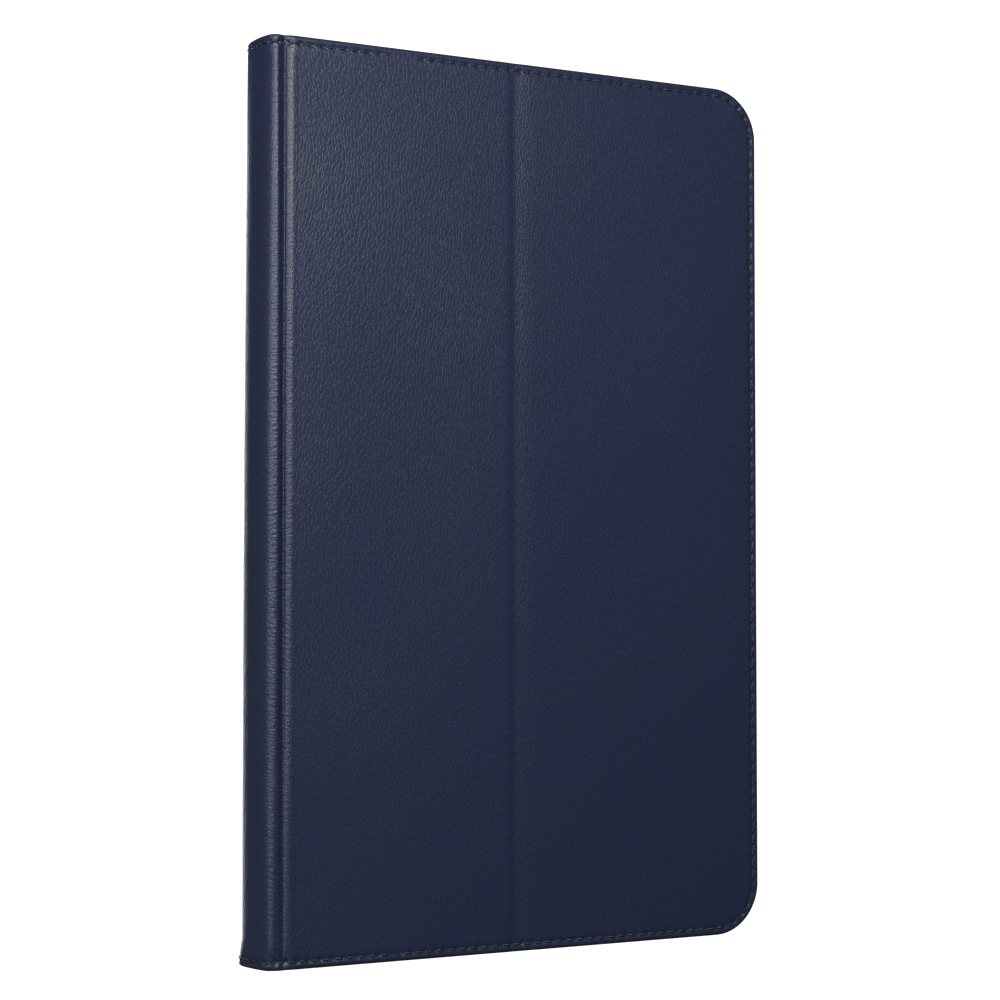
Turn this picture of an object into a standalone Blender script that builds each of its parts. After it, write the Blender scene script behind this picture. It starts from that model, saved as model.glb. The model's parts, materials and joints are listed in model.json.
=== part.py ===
"""Tablet keyboard case: a leather-look folio that closes over a tablet holder and a thin keyboard.

Frame: the closed case lies on its back cover. X runs along the spine, +Y points from the free edge to
the spine, +Z points out of the front cover. The origin is the middle of the footprint, on the floor.
Each rigid body hangs from an empty that sits on its joint's axis.
"""

import math

import bmesh
import bpy
from mathutils import Vector

MM = 0.001

# Closed case
LENGTH = 254.0 * MM
WIDTH = 162.2 * MM
THICKNESS = 17.4 * MM
SPINE_BULGE = 4.7 * MM
CREASE_SHARE = 0.4625
FREE_CORNER = 15.0 * MM
SPINE_CORNER = 1.5 * MM

# Cover layers, from the outside in
LEATHER = 0.7 * MM
BOARD = 1.1 * MM
LINING = 0.3 * MM
LAYER_GAP = 0.1 * MM
SIDE_GAP = 0.2 * MM
COVER = LEATHER + BOARD + LINING + 2 * LAYER_GAP

# Gutters beside the spine and the crease across the front cover
GUTTER_PANEL_SIDE = 2.4 * MM
GUTTER_SPINE_SIDE = 1.5 * MM
GUTTER_DEPTH = 1.3 * MM
GUTTER_STRIP = 0.9 * MM
CREASE_HALF = 2.2 * MM
CREASE_DEPTH = 0.6 * MM
CREASE_STRIP = 1.5 * MM
SHOULDER_OUT = 2.2 * MM
SHOULDER_LIFT = 0.25 * MM
SPINE_POWER = 2.6
SPINE_STEPS = 20

# Tablet holder
HOLDER_MARGIN = 2.2 * MM
HOLDER_BASE = 1.0 * MM
HOLDER_WALL = 1.6 * MM
HOLDER_CORNER = 12.8 * MM
BAY_DEPTH = 6.4 * MM
LIP_OVER = 1.0 * MM
LIP_HEIGHT = 0.5 * MM
SPINE_WALL_CLEAR = 0.4 * MM
CAMERA_SIZE = (30.0 * MM, 15.0 * MM)
CAMERA_INSET = (22.0 * MM, 20.0 * MM)
CAMERA_CORNER = 7.0 * MM
PORT_HEIGHT = 3.4 * MM
PORT_LENGTH = 13.0 * MM
SPEAKER_LENGTH = 24.0 * MM
SPEAKER_OFFSET = 45.0 * MM
BUTTON_SLOTS = ((78.0 * MM, 34.0 * MM), (-60.0 * MM, 16.0 * MM))
STEEL_STRIP = (1.8 * MM, 60.0 * MM, 0.25 * MM)

# Keyboard
KEYBOARD_SIZE = (246.0 * MM, 150.0 * MM)
KEYBOARD_CORNER = 11.0 * MM
KEYBOARD_LIFT = 0.5 * MM
KEYBOARD_FLOOR = 0.7 * MM
KEYBOARD_WALL = 1.2 * MM
KEY_TOP_GAP = 0.3 * MM
KEY_RISE = 0.9 * MM
KEY_TRAVEL = 0.7 * MM
DECK = 0.6 * MM
KEY_FLANGE = 0.3 * MM
FLANGE_OUT = 0.5 * MM
MEMBRANE = 0.3 * MM
UNIT = 17.0 * MM
KEY_GAP = 2.2 * MM
OPENING_GAP = 0.3 * MM
ROW_HEIGHT = 16.6 * MM
FUNCTION_ROW_HEIGHT = 11.0 * MM
ROWS_INSET = 4.0 * MM
TOUCHPAD_SIZE = (92.0 * MM, 41.0 * MM)
TOUCHPAD_FLANGE_DROP = 0.5 * MM
FOOT_SIZE = (200.0 * MM, 5.0 * MM, 0.3 * MM)

# Small parts
MAGNET_SIZE = (20.0 * MM, 8.0 * MM)
MAGNET_INSET = 9.0 * MM
KEYBOARD_MAGNET = (5.0 * MM, 16.0 * MM, 1.2 * MM)
STEEL_PLATE = (120.0 * MM, 2.4 * MM, 0.5 * MM)
BATTERY_LENGTH = 56.0 * MM
CONTROLLER_SIZE = (40.0 * MM, 23.0 * MM, 0.6 * MM)
MEMBRANE_INSET = 1.2 * MM
MAGNET_X = 70.0 * MM
SWITCH_TRAVEL = 3.0 * MM
SWITCH_NUB = (3.6 * MM, 1.8 * MM)
LIGHT_SIZE = (2.4 * MM, 1.0 * MM)
SOCKET_SIZE = (7.6 * MM, 4.4 * MM)
SOCKET_WALL = 0.3 * MM

# Heights and places that follow from the sizes above
FREE_EDGE_Y = -WIDTH / 2
GUTTER_Y = WIDTH / 2 - SPINE_BULGE
CREASE_Y = GUTTER_Y - CREASE_SHARE * (GUTTER_Y - FREE_EDGE_Y)
PANEL_END_Y = GUTTER_Y - GUTTER_PANEL_SIDE
HOLDER_Z = COVER + LAYER_GAP
BAY_FLOOR_Z = HOLDER_Z + HOLDER_BASE
LIP_Z = BAY_FLOOR_Z + BAY_DEPTH
HOLDER_TOP_Z = LIP_Z + LIP_HEIGHT
FRONT_INNER_Z = THICKNESS - COVER
KEY_TOP_Z = FRONT_INNER_Z - KEY_TOP_GAP
DECK_TOP_Z = KEY_TOP_Z - KEY_RISE
DECK_Z = DECK_TOP_Z - DECK
KEYBOARD_Z = HOLDER_TOP_Z + KEYBOARD_LIFT
FLOOR_TOP_Z = KEYBOARD_Z + KEYBOARD_FLOOR
KEYBOARD_Y = FREE_EDGE_Y + 4.0 * MM + KEYBOARD_SIZE[1] / 2
CAMERA_X = LENGTH / 2 - CAMERA_INSET[0] - CAMERA_SIZE[0] / 2
CAMERA_Y = FREE_EDGE_Y + CAMERA_INSET[1] + CAMERA_SIZE[1] / 2

CORNER_STEPS = 8


def clear_scene():
    for obj in list(bpy.data.objects):
        bpy.data.objects.remove(obj, do_unlink=True)
    for mesh in list(bpy.data.meshes):
        bpy.data.meshes.remove(mesh)


def material(name, colour, roughness, metallic=0.0):
    mat = bpy.data.materials.new(name)
    mat.use_nodes = True
    shader = mat.node_tree.nodes["Principled BSDF"]
    shader.inputs["Base Color"].default_value = (*colour, 1.0)
    shader.inputs["Roughness"].default_value = roughness
    shader.inputs["Metallic"].default_value = metallic
    return mat


def body(name, at, parent=None):
    """An empty on a body's joint axis, which the body's pieces hang from."""
    empty = bpy.data.objects.new(name, None)
    bpy.context.scene.collection.objects.link(empty)
    empty["axis_at"] = at
    if parent is not None:
        empty.parent = parent
        at = [a - b for a, b in zip(at, parent["axis_at"])]
    empty.location = at
    return empty


def add_object(name, bm, holder, mat):
    """Turns a mesh in case coordinates into an object under its body's empty."""
    bmesh.ops.recalc_face_normals(bm, faces=bm.faces)
    bmesh.ops.translate(bm, vec=-Vector(holder["axis_at"]), verts=bm.verts)
    mesh = bpy.data.meshes.new(name)
    bm.to_mesh(mesh)
    bm.free()
    mesh.materials.append(mat)
    obj = bpy.data.objects.new(name, mesh)
    bpy.context.scene.collection.objects.link(obj)
    obj.parent = holder
    return obj


def rounded(x0, x1, y0, y1, low=0.0, high=0.0):
    """Outline of a rectangle, counter-clockwise; low rounds the corners at y0 and high those at y1."""
    corners = [
        (x1, y0, -1, 1, -90, low),
        (x1, y1, -1, -1, 0, high),
        (x0, y1, 1, -1, 90, high),
        (x0, y0, 1, 1, 180, low),
    ]
    points = []
    for x, y, in_x, in_y, start, radius in corners:
        if radius <= 0:
            points.append((x, y))
            continue
        steps = CORNER_STEPS if radius > 3 * MM else 3
        for i in range(steps + 1):
            angle = math.radians(start + 90 * i / steps)
            points.append(
                (
                    x + in_x * radius + radius * math.cos(angle),
                    y + in_y * radius + radius * math.sin(angle),
                )
            )
    return points


def centred(x, y, size_x, size_y, radius=0.0):
    half_x = size_x / 2
    half_y = size_y / 2
    return rounded(x - half_x, x + half_x, y - half_y, y + half_y, radius, radius)


def triangles(loops):
    """Counter-clockwise triangles that fill the first loop and leave the others open."""
    bm = bmesh.new()
    for loop in loops:
        verts = [bm.verts.new((*p, 0.0)) for p in loop]
        for a, b in zip(verts, verts[1:] + verts[:1]):
            bm.edges.new((a, b))
    bm.verts.index_update()
    points = [p for loop in loops for p in loop]
    bmesh.ops.triangle_fill(bm, edges=bm.edges, use_beauty=True, normal=(0.0, 0.0, 1.0))
    inside = [e for e in bm.edges if len(e.link_faces) == 2]
    bmesh.ops.beautify_fill(bm, faces=bm.faces, edges=inside, method="AREA")
    found = []
    for face in bm.faces:
        a, b, c = (points[v.index] for v in face.verts)
        turn = (b[0] - a[0]) * (c[1] - a[1]) - (b[1] - a[1]) * (c[0] - a[0])
        found.append((a, b, c) if turn > 0 else (a, c, b))
    bm.free()
    return found


def slabs(cells):
    """A solid made of upright cells, each (loops, [(low z, high z), ...]); neighbours share points."""
    levels = sorted({z for _, spans in cells for span in spans for z in span})
    filled = [(triangles(loops), spans) for loops, spans in cells]
    bm = bmesh.new()
    verts = {}

    def vert(point, z):
        key = (round(point[0], 8), round(point[1], 8), round(z, 8))
        if key not in verts:
            verts[key] = bm.verts.new(key)
        return verts[key]

    def fills(spans, i):
        return 0 <= i < len(levels) - 1 and any(
            low <= levels[i] and high >= levels[i + 1] for low, high in spans
        )

    for i, z in enumerate(levels):
        edges = set()
        for tris, spans in filled:
            above = fills(spans, i)
            below = fills(spans, i - 1)
            for tri in tris:
                if above != below:
                    bm.faces.new([vert(p, z) for p in (tri if below else tri[::-1])])
                if above:
                    edges.update([(tri[0], tri[1]), (tri[1], tri[2]), (tri[2], tri[0])])
        for a, b in sorted(edges):
            if (b, a) not in edges:
                top = levels[i + 1]
                bm.faces.new([vert(a, z), vert(b, z), vert(b, top), vert(a, top)])
    return bm


def plate(outline, low, high, holes=()):
    return slabs([([outline, *holes], [(low, high)])])


def along_x(profile, x0, x1):
    """A closed outline of (y, z) points, drawn out from x0 to x1."""
    bm = bmesh.new()
    rings = [[bm.verts.new((x, y, z)) for y, z in profile] for x in (x0, x1)]
    count = len(profile)
    index = {p: i for i, p in enumerate(profile)}
    for tri in triangles([profile]):
        for ring in rings:
            bm.faces.new([ring[index[p]] for p in tri])
    for i in range(count):
        j = (i + 1) % count
        bm.faces.new([rings[0][i], rings[0][j], rings[1][j], rings[1][i]])
    return bm


def along_y(profile, y0, y1):
    """A closed outline of (x, z) points, drawn out from y0 to y1."""
    bm = along_x(profile, y0, y1)
    for v in bm.verts:
        v.co = Vector((v.co.y, v.co.x, v.co.z))
    return bm


def ribbon(points, near, far):
    """The closed outline between two offsets of a line; offsets grow towards the line's left."""
    sides = []
    for distance in (near, far):
        side = []
        for i, (y, z) in enumerate(points):
            before = points[max(i - 1, 0)]
            after = points[min(i + 1, len(points) - 1)]
            run = Vector((after[0] - before[0], after[1] - before[1])).normalized()
            side.append((y - run.y * distance, z + run.x * distance))
        sides.append(side)
    return sides[0] + sides[1][::-1]


def cut(obj, outline_boxes):
    """Cuts boxes, each (low corner, high corner) in case coordinates, out of an object."""
    bm = bmesh.new()
    for low, high in outline_boxes:
        size = [b - a for a, b in zip(low, high)]
        made = bmesh.ops.create_cube(bm, size=1.0)["verts"]
        bmesh.ops.scale(bm, vec=size, verts=made)
        bmesh.ops.translate(bm, vec=[(a + b) / 2 for a, b in zip(low, high)], verts=made)
    cutter = add_object(obj.name + "_cutter", bm, obj.parent, obj.data.materials[0])
    cutter.hide_render = True
    cutter.display_type = "WIRE"
    boolean = obj.modifiers.new("cut", "BOOLEAN")
    boolean.operation = "DIFFERENCE"
    boolean.solver = "EXACT"
    boolean.object = cutter


# ---------------------------------------------------------------- covers


def panel_outline(y0, y1, low, high, inset=0.0):
    half = LENGTH / 2 - inset
    return rounded(
        -half,
        half,
        y0 + inset,
        y1 - inset,
        max(low - inset, 0.0),
        max(high - inset, 0.0),
    )


def camera_outline(grow=0.0):
    return centred(
        CAMERA_X,
        CAMERA_Y,
        CAMERA_SIZE[0] + 2 * grow,
        CAMERA_SIZE[1] + 2 * grow,
        CAMERA_CORNER + grow,
    )


def heights(outer_z, up):
    """The three layers' (low, high) heights for a cover whose outer face is at outer_z."""
    spans = []
    start = 0.0
    for thick in (LEATHER, BOARD, LINING):
        ends = (outer_z + up * start, outer_z + up * (start + thick))
        spans.append((min(ends), max(ends)))
        start += thick + LAYER_GAP
    return spans


def add_panel(prefix, holder, looks, y0, y1, low, high, outer_z, up, holes=(), magnets=()):
    """A cover panel: a leather skin turned up all round a stiff board, closed by a lining."""
    leather, board, lining = heights(outer_z, up)
    edge = (min(outer_z, outer_z + up * COVER), max(outer_z, outer_z + up * COVER))
    outer = panel_outline(y0, y1, low, high)
    inner = panel_outline(y0, y1, low, high, LEATHER)
    cells = [([outer, inner], [edge]), ([inner, *holes], [leather])]
    add_object(prefix + "_leather", slabs(cells), holder, looks["leather"])
    filling = panel_outline(y0, y1, low, high, LEATHER + SIDE_GAP)
    pocket = [size + 2 * SIDE_GAP for size in MAGNET_SIZE]
    pockets = [centred(x, y, *pocket) for x, y in magnets]
    add_object(prefix + "_board", plate(filling, *board, [*holes, *pockets]), holder, looks["board"])
    add_object(prefix + "_lining", plate(filling, *lining, holes), holder, looks["lining"])
    for side, (x, y) in zip(("left", "right"), magnets):
        magnet = plate(centred(x, y, *MAGNET_SIZE), *board)
        add_object("cover_magnet_" + side, magnet, holder, looks["magnet"])


def spine_line():
    """The spine's outer line from the bottom gutter round to the top gutter."""
    reach = SPINE_BULGE - SHOULDER_OUT
    half = THICKNESS / 2 - SHOULDER_LIFT
    share = 2 / SPINE_POWER
    points = []
    for i in range(SPINE_STEPS + 1):
        angle = math.pi * (i / SPINE_STEPS - 0.5)
        y = GUTTER_Y + SHOULDER_OUT + reach * abs(math.cos(angle)) ** share
        z = THICKNESS / 2 + math.copysign(half * abs(math.sin(angle)) ** share, math.sin(angle))
        points.append((y, z))
    lip = (GUTTER_Y + GUTTER_SPINE_SIDE, GUTTER_DEPTH)
    shoulder = (GUTTER_Y + GUTTER_SPINE_SIDE + 0.25 * MM, GUTTER_DEPTH / 2)
    start = [lip, shoulder]
    end = [(y, THICKNESS - z) for y, z in reversed(start)]
    return start + points + end


def add_spine(holder, looks):
    line = spine_line()
    half = LENGTH / 2
    add_object("spine_leather", along_x(ribbon(line, 0.0, LEATHER), -half, half), holder, looks["leather"])
    inside = [p for p in line if COVER < p[1] < THICKNESS - COVER]
    board_at = LEATHER + LAYER_GAP
    lining_at = board_at + BOARD + LAYER_GAP
    half -= LEATHER
    board = ribbon(inside, board_at, board_at + BOARD)
    add_object("spine_board", along_x(board, -half, half), holder, looks["board"])
    lining = ribbon(inside, lining_at, lining_at + LINING)
    add_object("spine_lining", along_x(lining, -half, half), holder, looks["lining"])


def add_strip(name, holder, look, y0, y1, low, high):
    half = LENGTH / 2 - LEATHER
    add_object(name, along_x([(y0, low), (y1, low), (y1, high), (y0, high)], -half, half), holder, look)


def add_gutter_strips(holder, looks):
    """The thin leather that bends in the two grooves beside the spine."""
    y0 = GUTTER_Y - GUTTER_PANEL_SIDE + LAYER_GAP
    y1 = GUTTER_Y + GUTTER_SPINE_SIDE - LAYER_GAP
    low = GUTTER_DEPTH
    high = GUTTER_DEPTH + GUTTER_STRIP
    add_strip("back_gutter_strip", holder, looks["leather"], y0, y1, low, high)
    add_strip("front_gutter_strip", holder, looks["leather"], y0, y1, THICKNESS - high, THICKNESS - low)


def add_crease_strip(holder, looks):
    half = CREASE_HALF - LAYER_GAP
    high = THICKNESS - CREASE_DEPTH
    low = high - CREASE_STRIP
    add_strip("crease_strip", holder, looks["leather"], CREASE_Y - half, CREASE_Y + half, low, high)


# ---------------------------------------------------------------- tablet holder


def add_holder(holder, looks):
    half = LENGTH / 2 - HOLDER_MARGIN
    y0 = FREE_EDGE_Y + HOLDER_MARGIN
    y1 = GUTTER_Y - SPINE_WALL_CLEAR

    def outline(inset):
        radius = HOLDER_CORNER - inset
        return rounded(-half + inset, half - inset, y0 + inset, y1 - inset, radius, radius)

    outer = outline(0.0)
    wall = outline(HOLDER_WALL)
    lip = outline(HOLDER_WALL + LIP_OVER)
    base = (HOLDER_Z, BAY_FLOOR_Z)
    rim = (LIP_Z, HOLDER_TOP_Z)
    cells = [
        ([outer, wall], [(HOLDER_Z, HOLDER_TOP_Z)]),
        ([wall, lip], [base, rim]),
        ([lip, camera_outline()], [base]),
    ]
    tray = add_object("tablet_holder", slabs(cells), holder, looks["holder"])
    cut(tray, port_boxes(half))
    strip_x = half - HOLDER_WALL / 2 - 0.1 * MM
    low = HOLDER_TOP_Z + LAYER_GAP
    for side, sign in (("left", -1), ("right", 1)):
        strip = plate(centred(sign * strip_x, KEYBOARD_Y, *STEEL_STRIP[:2]), low, low + STEEL_STRIP[2])
        add_object("holder_steel_strip_" + side, strip, holder, looks["steel"])


def port_boxes(half):
    """Openings in the holder's walls: charging port and speakers at the ends, buttons in the long wall."""
    low = BAY_FLOOR_Z + (BAY_DEPTH - PORT_HEIGHT) / 2
    high = low + PORT_HEIGHT
    through = HOLDER_WALL + 2 * MM
    boxes = []
    end_slots = [(0.0, PORT_LENGTH), (-SPEAKER_OFFSET, SPEAKER_LENGTH), (SPEAKER_OFFSET, SPEAKER_LENGTH)]
    for sign in (-1, 1):
        x0, x1 = sorted((sign * (half - through), sign * (half + through)))
        for offset, length in end_slots:
            y = KEYBOARD_Y + offset
            boxes.append(((x0, y - length / 2, low), (x1, y + length / 2, high)))
    wall_y = FREE_EDGE_Y + HOLDER_MARGIN
    for x, length in BUTTON_SLOTS:
        boxes.append(((x - length / 2, wall_y - through, low), (x + length / 2, wall_y + through, high)))
    return boxes


# ---------------------------------------------------------------- keyboard


def key_rows():
    """Rows from the top, each (height, [(node name, [key widths in units]), ...])."""
    return [
        (FUNCTION_ROW_HEIGHT, [("escape_key", [1]), ("function_keys", [1] * 12), ("delete_key", [1])]),
        (ROW_HEIGHT, [("number_keys", [1] * 12), ("backspace_key", [2])]),
        (ROW_HEIGHT, [("tab_key", [1.5]), ("upper_letter_keys", [1] * 11 + [1.5])]),
        (ROW_HEIGHT, [("caps_lock_key", [1.75]), ("middle_letter_keys", [1] * 10), ("enter_key", [2.25])]),
        (
            ROW_HEIGHT,
            [("left_shift_key", [2.25]), ("lower_letter_keys", [1] * 10), ("right_shift_key", [1.75])],
        ),
        (
            ROW_HEIGHT,
            [
                ("left_modifier_keys", [1, 1, 1.25, 1.25]),
                ("space_bar", [5]),
                ("right_modifier_key", [1.5]),
                ("left_arrow_key", [1]),
                ("up_down_arrows", [1]),
                ("right_arrow_key", [1]),
            ],
        ),
    ]


def key_groups():
    """Each moving key or joined group: (node name, [(x0, x1) of each cap], y0, y1)."""
    groups = []
    top = KEYBOARD_Y + KEYBOARD_SIZE[1] / 2 - ROWS_INSET
    total_units = 14
    for height, row in key_rows():
        x = -total_units * UNIT / 2
        y0 = top - height + KEY_GAP / 2
        y1 = top - KEY_GAP / 2
        for name, units in row:
            caps = []
            for unit in units:
                caps.append((x + KEY_GAP / 2, x + unit * UNIT - KEY_GAP / 2))
                x += unit * UNIT
            if name == "up_down_arrows":
                middle = (y0 + y1) / 2
                groups.append(("up_arrow_key", caps, middle + KEY_GAP / 2, y1))
                groups.append(("down_arrow_key", caps, y0, middle - KEY_GAP / 2))
            else:
                groups.append((name, caps, y0, y1))
        top -= height
    return groups


def capped_profile(caps, flange_low, flange_high, top):
    """(x, z) outline of caps that stand on one flange, which keeps them under the deck."""
    points = [(caps[0][0] - FLANGE_OUT, flange_high), (caps[0][0] - FLANGE_OUT, flange_low)]
    points += [(caps[-1][1] + FLANGE_OUT, flange_low), (caps[-1][1] + FLANGE_OUT, flange_high)]
    for x0, x1 in reversed(caps):
        points += [(x1, flange_high), (x1, top), (x0, top), (x0, flange_high)]
    return points


def touchpad_place():
    y = KEYBOARD_Y - KEYBOARD_SIZE[1] / 2 + ROWS_INSET + TOUCHPAD_SIZE[1] / 2
    return 0.0, y


def switch_place():
    rows_top = KEYBOARD_Y + KEYBOARD_SIZE[1] / 2 - ROWS_INSET
    return KEYBOARD_SIZE[0] / 2 - 16 * MM, rows_top - 106 * MM


def light_place():
    x, y = switch_place()
    return x + 1 * MM, y - 6 * MM


def add_keys(keyboard, looks):
    flange_high = DECK_Z - LAYER_GAP
    flange_low = flange_high - KEY_FLANGE
    for name, caps, y0, y1 in key_groups():
        middle = (caps[0][0] + caps[-1][1]) / 2
        carrier = body(name + "_body", (middle, (y0 + y1) / 2, flange_high), keyboard)
        profile = capped_profile(caps, flange_low, flange_high, KEY_TOP_Z)
        add_object(name, along_y(profile, y0, y1), carrier, looks["keycap"])


def add_touchpad(keyboard, looks):
    x, y = touchpad_place()
    flange_high = DECK_Z - LAYER_GAP
    carrier = body("touchpad_body", (x, y, flange_high), keyboard)
    caps = [(x - TOUCHPAD_SIZE[0] / 2, x + TOUCHPAD_SIZE[0] / 2)]
    top = DECK_TOP_Z - LAYER_GAP
    profile = capped_profile(caps, flange_high - TOUCHPAD_FLANGE_DROP, flange_high, top)
    half = TOUCHPAD_SIZE[1] / 2
    add_object("touchpad", along_y(profile, y - half, y + half), carrier, looks["touchpad"])


def add_switch(keyboard, looks):
    x, y = switch_place()
    flange_high = DECK_Z - LAYER_GAP
    carrier = body("power_switch_body", (x, y, flange_high), keyboard)
    caps = [(x - SWITCH_NUB[0] / 2, x + SWITCH_NUB[0] / 2)]
    top = DECK_TOP_Z + KEY_RISE / 2
    profile = capped_profile(caps, flange_high - KEY_FLANGE, flange_high, top)
    half = SWITCH_NUB[1] / 2
    add_object("power_switch", along_y(profile, y - half, y + half), carrier, looks["switch"])


def add_deck(keyboard, looks):
    outline = centred(0.0, KEYBOARD_Y, *KEYBOARD_SIZE, KEYBOARD_CORNER)
    holes = []
    for _, caps, y0, y1 in key_groups():
        for x0, x1 in caps:
            holes.append(
                rounded(x0 - OPENING_GAP, x1 + OPENING_GAP, y0 - OPENING_GAP, y1 + OPENING_GAP)
            )
    pad = [size + 2 * OPENING_GAP for size in TOUCHPAD_SIZE]
    holes.append(centred(*touchpad_place(), *pad))
    x, y = switch_place()
    slot = (SWITCH_NUB[0] + SWITCH_TRAVEL + 2 * OPENING_GAP, SWITCH_NUB[1] + 2 * OPENING_GAP)
    holes.append(centred(x + SWITCH_TRAVEL / 2, y, *slot))
    light = [size + 2 * SIDE_GAP for size in LIGHT_SIZE]
    holes.append(centred(*light_place(), *light))
    add_object("key_frame", plate(outline, DECK_Z, DECK_TOP_Z, holes), keyboard, looks["deck"])
    lens = plate(centred(*light_place(), *LIGHT_SIZE), DECK_Z, DECK_TOP_Z)
    add_object("status_light", lens, keyboard, looks["light"])


def socket_place():
    return KEYBOARD_SIZE[0] / 2 - 40 * MM, KEYBOARD_Y + KEYBOARD_SIZE[1] / 2


def add_base(keyboard, looks):
    outer = centred(0.0, KEYBOARD_Y, *KEYBOARD_SIZE, KEYBOARD_CORNER)
    inner = centred(
        0.0,
        KEYBOARD_Y,
        KEYBOARD_SIZE[0] - 2 * KEYBOARD_WALL,
        KEYBOARD_SIZE[1] - 2 * KEYBOARD_WALL,
        KEYBOARD_CORNER - KEYBOARD_WALL,
    )
    top = DECK_Z - LAYER_GAP
    cells = [([outer, inner], [(KEYBOARD_Z, top)]), ([inner], [(KEYBOARD_Z, FLOOR_TOP_Z)])]
    tub = add_object("keyboard_base", slabs(cells), keyboard, looks["base"])
    x, y = socket_place()
    half = SOCKET_SIZE[0] / 2 + SIDE_GAP
    mouth = ((x - half, y - 3 * MM, FLOOR_TOP_Z + LAYER_GAP / 2), (x + half, y + 3 * MM, top + 1 * MM))
    cut(tub, [mouth])
    for name, sign in (("rear", 1), ("front", -1)):
        foot_y = KEYBOARD_Y + sign * (KEYBOARD_SIZE[1] / 2 - 12 * MM)
        high = KEYBOARD_Z - LAYER_GAP
        foot = plate(centred(0.0, foot_y, *FOOT_SIZE[:2], 2 * MM), high - FOOT_SIZE[2], high)
        add_object(name + "_foot_strip", foot, keyboard, looks["rubber"])


def add_charge_socket(keyboard, looks):
    x, y = socket_place()
    back_y = y - 0.2 * MM - SOCKET_SIZE[1]
    low = FLOOR_TOP_Z + LAYER_GAP + SIDE_GAP
    high = DECK_Z - LAYER_GAP - SIDE_GAP
    half = SOCKET_SIZE[0] / 2
    outer = [(x - half, low), (x + half, low), (x + half, high), (x - half, high)]
    shell = add_object("charge_socket", along_y(outer, back_y, y - 0.2 * MM), keyboard, looks["steel"])
    inside = half - SOCKET_WALL
    mouth = (
        (x - inside, back_y + 1 * MM, low + SOCKET_WALL),
        (x + inside, y + 1 * MM, high - SOCKET_WALL),
    )
    cut(shell, [mouth])


def add_key_layers(keyboard, looks):
    """The printed key membrane and the rubber dome sheet over it."""
    rows_low = min(y0 for _, _, y0, _ in key_groups())
    rows_high = KEYBOARD_Y + KEYBOARD_SIZE[1] / 2 - ROWS_INSET - FUNCTION_ROW_HEIGHT
    half = KEYBOARD_SIZE[0] / 2 - KEYBOARD_WALL - MEMBRANE_INSET
    low = FLOOR_TOP_Z + LAYER_GAP
    top = low + MEMBRANE
    membrane = plate(rounded(-half, half, rows_low, rows_high), low, top)
    add_object("key_membrane", membrane, keyboard, looks["membrane"])
    dome_low = top + LAYER_GAP / 2
    dome_top = DECK_Z - KEY_FLANGE - KEY_TRAVEL - 2 * LAYER_GAP
    edge = 1 * MM
    domes = plate(rounded(-half, half, rows_low + edge, rows_high - edge), dome_low, dome_top)
    add_object("dome_sheet", domes, keyboard, looks["rubber"])


def add_electronics(keyboard, looks):
    """Battery and controller board beside the touchpad, steel plate and magnets at the free edge."""
    low = FLOOR_TOP_Z + LAYER_GAP
    edge_y = KEYBOARD_Y - KEYBOARD_SIZE[1] / 2 + ROWS_INSET
    high_y = min(y0 for _, _, y0, _ in key_groups()) - 2 * MM
    pad_x = TOUCHPAD_SIZE[0] / 2 + 4 * MM
    battery = plate(
        rounded(-pad_x - BATTERY_LENGTH, -pad_x, edge_y + 6 * MM, high_y, 1 * MM, 1 * MM),
        low,
        DECK_Z - 2 * LAYER_GAP,
    )
    add_object("battery", battery, keyboard, looks["battery"])
    board_y = high_y - 16 * MM
    circuit = rounded(pad_x, pad_x + CONTROLLER_SIZE[0], board_y - CONTROLLER_SIZE[1], board_y)
    board = plate(circuit, low, low + CONTROLLER_SIZE[2])
    add_object("controller_board", board, keyboard, looks["circuit"])
    steel = plate(centred(0.0, edge_y + 1 * MM, *STEEL_PLATE[:2]), low, low + STEEL_PLATE[2])
    add_object("keyboard_steel_plate", steel, keyboard, looks["steel"])
    magnet_x = KEYBOARD_SIZE[0] / 2 - KEYBOARD_WALL - KEYBOARD_MAGNET[0]
    for side, sign in (("left", -1), ("right", 1)):
        outline = centred(sign * magnet_x, edge_y + 12 * MM, *KEYBOARD_MAGNET[:2])
        magnet = plate(outline, low, low + KEYBOARD_MAGNET[2])
        add_object("keyboard_magnet_" + side, magnet, keyboard, looks["magnet"])


def add_looks():
    return {
        "leather": material("navy_leather", (0.033, 0.042, 0.085), 0.5),
        "board": material("grey_board", (0.36, 0.34, 0.31), 0.9),
        "lining": material("microfibre_lining", (0.03, 0.035, 0.06), 0.95),
        "holder": material("holder_plastic", (0.015, 0.015, 0.017), 0.45),
        "steel": material("bright_steel", (0.55, 0.55, 0.56), 0.35, 1.0),
        "magnet": material("nickel_magnet", (0.6, 0.59, 0.56), 0.25, 1.0),
        "base": material("keyboard_base_plastic", (0.03, 0.03, 0.034), 0.5),
        "deck": material("keyboard_deck_plastic", (0.035, 0.036, 0.04), 0.45),
        "keycap": material("keycap_plastic", (0.018, 0.018, 0.02), 0.5),
        "touchpad": material("touchpad_plastic", (0.025, 0.026, 0.03), 0.3),
        "switch": material("switch_plastic", (0.2, 0.2, 0.21), 0.4),
        "light": material("light_lens", (0.7, 0.75, 0.78), 0.2),
        "rubber": material("grey_rubber", (0.08, 0.08, 0.085), 0.8),
        "membrane": material("membrane_film", (0.5, 0.5, 0.46), 0.4),
        "circuit": material("circuit_board", (0.02, 0.14, 0.06), 0.5),
        "battery": material("battery_foil", (0.42, 0.42, 0.44), 0.35, 0.6),
    }


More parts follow.
